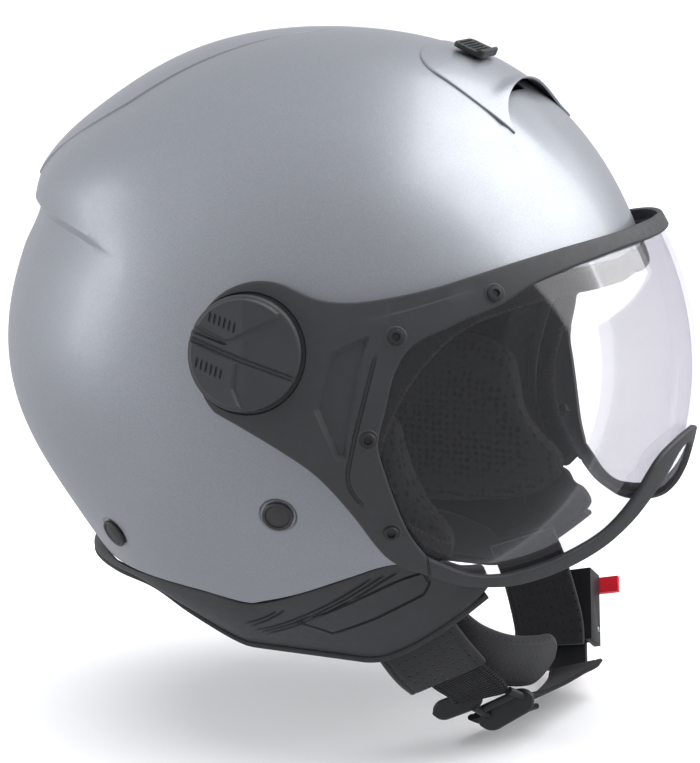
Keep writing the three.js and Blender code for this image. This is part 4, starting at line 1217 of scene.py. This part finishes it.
def build_pivot(name, sign):
    """The cover of a hinge, with facets, finger grips and ribs, and the bush, screw and nut."""
    centre, normal = spot(VISOR, PIVOT[[0, 2]], sign)
    forward = unit(np.array([1.0, 0, 0]) - normal[0] * normal)
    chart = PlaneChart(centre, normal, forward, np.cross(normal, forward) * -sign)

    def roof(uv, p, gap):
        """Two facets that fall from a ridge, the front one more steeply."""
        ahead = uv[:, 0] - (1.5 - 0.05 * uv[:, 1])
        return -np.where(ahead > 0, ahead * 0.27, -ahead * 0.12)

    reliefs = [Pocket(chart, grip, -PLATE_RISE, 0.9) for grip in (UPPER_GRIP, LOWER_GRIP)]
    reliefs.append(Pocket(chart, FINGER_SLOT, 1.0, 0.5))
    for shift in ([0, 0], [-0.3, -1.3]):
        reliefs.append(Groove(chart, KNOB_SPLIT + shift, 0.4, 0.5, runout=0.5))
    for row_x, row_y in RIB_ROWS:
        for k in range(6):
            x, y = row_x + 1.95 * k, row_y - 0.65 * k
            rib = [[x - 0.25, y - 2.2], [x + 0.25, y + 2.2]]
            reliefs.append(Groove(chart, rib, 0.5, 0.6, wall=0.25, runout=0.5))
    piece = panel(f"pivot_cap_{name}", chart, circle(KNOB_RADIUS, 120), KNOB_TOP - 0.2,
                  base=FRAME_TOP + KNOB_GAP + KNOB_TOP, reliefs=reliefs, edge=1.3, back_edge=0.1,
                  spacing=1.3, step=1.1, swell=roof, sharp=16)
    hand_in(piece, "visor", "charcoal_plastic", f"pivot_cover_{name}")
    for kind, (profile, look, how) in HINGE.items():
        piece = lathe(f"hinge_{kind}_{name}", profile, PIVOT, [0, sign, 0], **how)
        hand_in(piece, "helmet", look, f"pivot_{kind}_{name}")


# ------------------------------------------------------------------ strap anchors
RIVET = [[0.01, -11], [2.2, -11], [2.7, -10.5], [2.7, -0.2], [5.5, -0.2], [5.8, 0.1], [5.8, 0.9],
         [5.5, 1.25], [5.0, 1.35], [4.7, 1.2], [4.5, 0.85], [4.2, 0.95], [3.9, 1.15], [0.01, 1.25]]
WASHER = [[3.2, -6], [6.7, -6], [7, -5.7], [7, -4.9], [6.7, -4.6], [3.2, -4.6]]


def build_anchors(name, sign):
    for where, xz in STRAP_RIVETS.items():
        centre, normal = spot(SHELL, xz, sign)
        hand_in(lathe(f"rivet_{where}_{name}", RIVET, centre, normal, 48), "helmet", "steel",
                f"strap_rivet_{where}_{name}", look="dark_steel")
        hand_in(lathe(f"washer_{where}_{name}", WASHER, centre, normal, bored=True), "helmet",
                "steel", f"rivet_washer_{where}_{name}")


# ------------------------------------------------------------------ chin strap
# lines, and the directions across the tape at the same places
RIGHT_LINE = [[66.3, -62, -85], [68.5, -60, -91], [72.5, -54, -101], [78, -46, -110.5],
              [82, -38, -117.5], [83, -32.5, -123]]
RIGHT_LEAN = [[0.73, 0, 0.68], [0.73, 0, 0.68], [0.76, 0, 0.65], [0.84, 0, 0.54], [0.88, 0, 0.47],
              [0.9, 0, 0.44]]
RIGHT_SLEEVE_LINE = [[62, -61, -84], [65.5, -58.5, -92], [69.5, -53, -101], [73.5, -46.5, -108.5]]
CHIN_LINE = [[90, -24, -127.5], [93, -8, -131], [95.5, 10, -133], [97, 28, -134],
             [97.5, 42, -134.5], [96.5, 50, -134]]
CHIN_LEAN = [[0.9, 0, 0.44], [0.87, 0, 0.5], [0.85, 0, 0.52], [0.87, 0, 0.5], [0.92, 0, 0.4],
             [0.95, 0, 0.3]]
PAD_LINE = [[72, -50, -90], [80, -42, -99.5], [88.5, -30, -107], [96, -14, -112], [101, 1, -114]]
PAD_LEAN = [[0.5, -0.2, 0.84], [0.45, -0.2, 0.87], [0.4, -0.2, 0.9], [0.3, -0.2, 0.93],
            [0.3, -0.2, 0.93]]
LEFT_LINE = [[65, 63, -83], [69, 65, -92], [74.5, 64, -104], [80, 60.5, -113], [83.5, 55.5, -120.5]]
LEFT_LEAN = [[0.97, 0, 0.23]] * 3 + [[0.97, 0, 0.2]] * 2
LEFT_SLEEVE_LINE = [[69, 57, -82], [74, 58, -94], [78.5, 57.5, -107], [82.5, 55, -119],
                    [84, 52, -127]]
LEFT_SLEEVE_LEAN = [[0.98, 0, 0.18], [0.98, 0, 0.14], [0.99, 0, 0.1], [0.99, 0, 0.06],
                    [0.99, 0, 0.06]]
TAIL_LINE = [[86, -26, -130], [87.5, -18, -134], [89, -10, -136.5]]
TAIL_LEAN = [[0.92, 0.1, 0.38]] * 3
WEBBING = (24.0, 1.8)  # width and thickness
# piece: body, slot, CAD node, line, lean, width, thickness, options
STRAPS = {
    "webbing_right": ("chin_strap", "webbing", "chin_strap_right", RIGHT_LINE, RIGHT_LEAN,
                      *WEBBING, {}),
    "webbing_left": ("chin_strap", "webbing", "chin_strap_left", LEFT_LINE, LEFT_LEAN, *WEBBING, {}),
    "webbing_chin": ("tongue", "webbing", "chin_webbing", CHIN_LINE, CHIN_LEAN, *WEBBING, {}),
    "webbing_tail": ("tongue", "webbing", "strap_tail", TAIL_LINE, TAIL_LEAN, 24.0, 2.4, {}),
    "sleeve_right": ("chin_strap", "suede", "strap_sleeve_right", RIGHT_SLEEVE_LINE, RIGHT_LEAN[:4],
                     35, 3.4, {"lift": -3.6}),
    "sleeve_left": ("chin_strap", "suede", "strap_sleeve_left", LEFT_SLEEVE_LINE, LEFT_SLEEVE_LEAN,
                    31, 3.2, {}),
    "chin_comfort_pad": ("chin_strap", "suede", "chin_pad", PAD_LINE, PAD_LEAN, 24.0, 4.0,
                         {"round_tip": 10}),
}
# the ladder-lock adjuster: [from, to, width] of its two flat grips, [from, to] of its rails
ADJUSTER_GRIPS = [[[62.5, -31.5, -133], [82.5, -31, -123], 8.4],
                  [[80.5, -25.5, -137], [102, -26, -121.5], 10.5]]
ADJUSTER_RAILS = [[[80, -33, -127.5], [84.5, -25.5, -133]],
                  [[94.5, -33, -118.5], [99, -25.5, -123.5]],
                  [[82, -29, -129.5], [97, -29, -120.5]]]
GRIP_OUT, RAIL_OUT = [0.18, -1, 0.22], [0, 1, 0.3]
# CAD node: piece, bevel in mm, its segments, body, slot
HARDWARE = {
    "buckle_body": ("buckle_housing", 0.8, 3, "chin_strap", "black_plastic"),
    "buckle_lever": ("buckle_release", 0.7, 3, "release_lever", "red_plastic"),
    "ratchet_tongue": ("buckle_tongue", 0.4, 3, "tongue", "black_plastic"),
    "lever_pin": ("buckle_pin", 0.25, 3, "chin_strap", "steel"),
    "anchor_strap_right": ("anchor_webbing_right", 0.3, 2, "helmet", "webbing"),
    "anchor_strap_left": ("anchor_webbing_left", 0.3, 2, "helmet", "webbing"),
}


def tape(name, line, lean, width, thick, lift=0.0, steps=40, round_tip=0.0, round_start=0.0,
         stitched=True):
    """A flat strap along a line, with a channel near each edge and, if asked, round ends."""
    path = spline(line, steps)
    wide, out = strip_frame(path, spline(lean, steps))
    length = lengths(path)
    sections = []
    for at in length:
        share = 1.0
        for reach, left in ((round_tip, length[-1] - at), (round_start, at)):
            if left < reach:
                share = math.sqrt(max(1 - (1 - left / reach) ** 2, 0.02))
        sections.append(strap_section(width * share, thick, stitched and share > 0.9))
    return sweep(name, path + lift * out, wide, np.array(sections))


def strap_section(width, thick, stitched):
    """Rounded flat section; a shallow channel near each edge holds the stitching."""
    half, r = width / 2, min(thick / 2, width / 2)
    inner = [half - r, half - 2.2, half - 2.8, half - 3.4, half - 5]
    stations = [-x for x in inner] + [0] + inner[::-1]
    if width < 12:
        stations = np.linspace(r - half, half - r, 11)
        stitched = False
    dips = [0.25 if stitched and k in (2, 8) else 0 for k in range(11)]
    top = [(x, thick / 2 - d) for x, d in zip(stations, dips)]
    turn = [math.radians(a) for a in (60, 30, 0, -30, -60)]
    right = [(half - r + r * math.cos(a), thick / 2 * math.sin(a)) for a in turn]
    return np.array(top + right + [(x, -y) for x, y in reversed(top)] + [(-x, -y) for x, y in right])


def bar(start, end, out, width, **more):
    """A straight piece of the adjuster, facing `out`."""
    line = [start, np.mean([start, end], axis=0), end]
    lean = [np.cross(np.subtract(end, start), out)] * 3
    return tape("bar", line, lean, width, 3.0, stitched=False, **more)


def build_adjuster():
    """The ladder lock: two rounded grips joined by rails that the webbing loops round."""
    bars = [bar(start, end, GRIP_OUT, width, steps=30, round_tip=width * 0.6,
                round_start=width * 0.6) for start, end, width in ADJUSTER_GRIPS]
    bars += [bar(start, end, RAIL_OUT, 3.4, steps=8) for start, end in ADJUSTER_RAILS]
    whole = bmesh.new()
    for piece in bars:
        whole.from_mesh(piece.data)
        bpy.data.objects.remove(piece)
    mesh = bpy.data.meshes.new("length_adjuster")
    whole.to_mesh(mesh)
    whole.free()
    smooth(mesh, 45)
    hand_in(place("length_adjuster", mesh), "tongue", "black_plastic", "strap_adjuster")


def refined(node, name, bevel_mm, segments):
    """A CAD node's shape with its edges rounded, as a new piece."""
    mesh = frame["nodes"][node].data.copy()
    bm = bmesh.new()
    bm.from_mesh(mesh)
    bmesh.ops.remove_doubles(bm, verts=bm.verts, dist=1e-6)
    bmesh.ops.dissolve_limit(bm, angle_limit=math.radians(3), verts=bm.verts, edges=bm.edges)
    bm.to_mesh(mesh)
    bm.free()
    piece = place(name, mesh)
    bevel = piece.modifiers.new("Bevel", "BEVEL")
    bevel.width = bevel_mm * MM
    bevel.segments = segments
    bevel.limit_method = "ANGLE"
    bevel.angle_limit = math.radians(32)
    apply_modifiers(piece)
    smooth(piece.data, 35)
    return piece


def build_strap():
    for name, (body, slot, node, *shape, options) in STRAPS.items():
        hand_in(tape(name, *shape, **options), body, slot, node)
    for node, (name, bevel_mm, segments, body, slot) in HARDWARE.items():
        hand_in(refined(node, name, bevel_mm, segments), body, slot, node)
    build_adjuster()


# ------------------------------------------------------------------ studio
FLOOR_HALF = 14.0
FLOOR_DROP = 0.0015
VIEW_TARGET = Vector((-1.56, 0.0, -3.74)) * MM
VIEW_AZIMUTH = math.radians(22.5)
VIEW_ELEVATION = math.radians(12)
VIEW_DISTANCE = 1.0
FOCAL_PX = 2440
IMAGE_TALL = 763
SENSOR_MM = 36.0
# direction, distance, width and height in m, power in W
LIGHTS = {
    "key": ((0.62, 0.30, 0.68), 1.7, 2.1, 2.1, 33),
    "left_wall": ((-0.85, -0.38, 0.34), 1.8, 0.6, 1.4, 3.4),
    "side_fill": ((-0.93, -0.35, 0.12), 1.8, 1.2, 1.2, 32),
}
SUN_STRENGTH, SUN_ANGLE = 2.2, math.radians(60)
NO_REFLECTION = ("side_fill", "floor_wash")


def view_direction():
    """From the helmet towards the camera."""
    flat = math.cos(VIEW_ELEVATION)
    return Vector((math.sin(VIEW_AZIMUTH) * flat, -math.cos(VIEW_AZIMUTH) * flat,
                   math.sin(VIEW_ELEVATION)))


def facing(thing, direction, distance, target=Vector()):
    """Put a lamp or camera out from a target, looking back at it."""
    thing.location = target + direction * distance
    thing.rotation_euler = (-direction).to_track_quat("-Z", "Y").to_euler()


def build_floor():
    z = min(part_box(node)[0].z for node in frame["nodes"]) - FLOOR_DROP
    corners = [(x * FLOOR_HALF, y * FLOOR_HALF, z) for x, y in ((-1, -1), (1, -1), (1, 1), (-1, 1))]
    mesh = bpy.data.meshes.new("floor")
    mesh.from_pydata(corners, [], [(0, 1, 2, 3)])
    floor = place("floor", mesh)
    look = Look("floor_paper", (0.93, 0.93, 0.935), 0.9)
    look.tint(look.noise(400), 0.985, 1.01)
    mesh.materials.append(look.material)
    floor.visible_glossy = False


def build_world():
    """A pale room, dimmer towards the camera and below the horizon."""
    world = bpy.data.worlds.new("studio")
    world.use_nodes = True
    graph = Graph(world.node_tree)
    around = graph.put("ShaderNodeTexCoord").outputs["Generated"]
    aim = graph.put("ShaderNodeVectorMath", {"operation": "DOT_PRODUCT"}, (around, view_direction()))
    height = graph.put("ShaderNodeSeparateXYZ", values=(around,))
    towards = graph.remap(aim.outputs["Value"], 0.25, 0.97, 0.64, 0.46, "SMOOTHSTEP")
    dusk = graph.remap(height.outputs["Z"], -0.75, 0.1, 0.8, 1.0, "SMOOTHSTEP")
    sky = graph.nodes["Background"]
    graph.feed(sky.inputs["Color"], (0.93, 0.95, 1.0, 1))
    graph.feed(sky.inputs["Strength"], graph.times(towards, dusk))
    bpy.context.scene.world = world


def build_lights():
    sun = bpy.data.lights.new("floor_wash", "SUN")
    sun.energy = SUN_STRENGTH
    sun.angle = SUN_ANGLE
    place("floor_wash", sun)
    for name, (direction, distance, width, height, power) in LIGHTS.items():
        data = bpy.data.lights.new(name, "AREA")
        data.shape = "RECTANGLE"
        data.size, data.size_y = width, height
        data.energy = power
        facing(place(name, data), Vector(direction).normalized(), distance)
    for name in NO_REFLECTION:
        bpy.data.objects[name].visible_glossy = False


def build_camera():
    data = bpy.data.cameras.new("camera")
    data.sensor_fit = "VERTICAL"
    data.sensor_height = SENSOR_MM
    data.lens = SENSOR_MM * FOCAL_PX / IMAGE_TALL
    data.clip_end = 60
    camera = place("camera", data)
    facing(camera, view_direction(), VIEW_DISTANCE, VIEW_TARGET)
    bpy.context.scene.camera = camera
    bpy.context.scene.view_settings.view_transform = "Standard"


build_shell()
build_vent()
build_slider()
build_lining()
build_brow_piping()
build_neck_roll()
build_base()
build_visor()
build_lens_fasteners()
for side_name, side_sign in SIDES.items():
    build_cheek_pad(side_name, side_sign)
    build_pivot(side_name, side_sign)
    build_anchors(side_name, side_sign)
build_strap()
build_floor()
build_world()
build_lights()
build_camera()
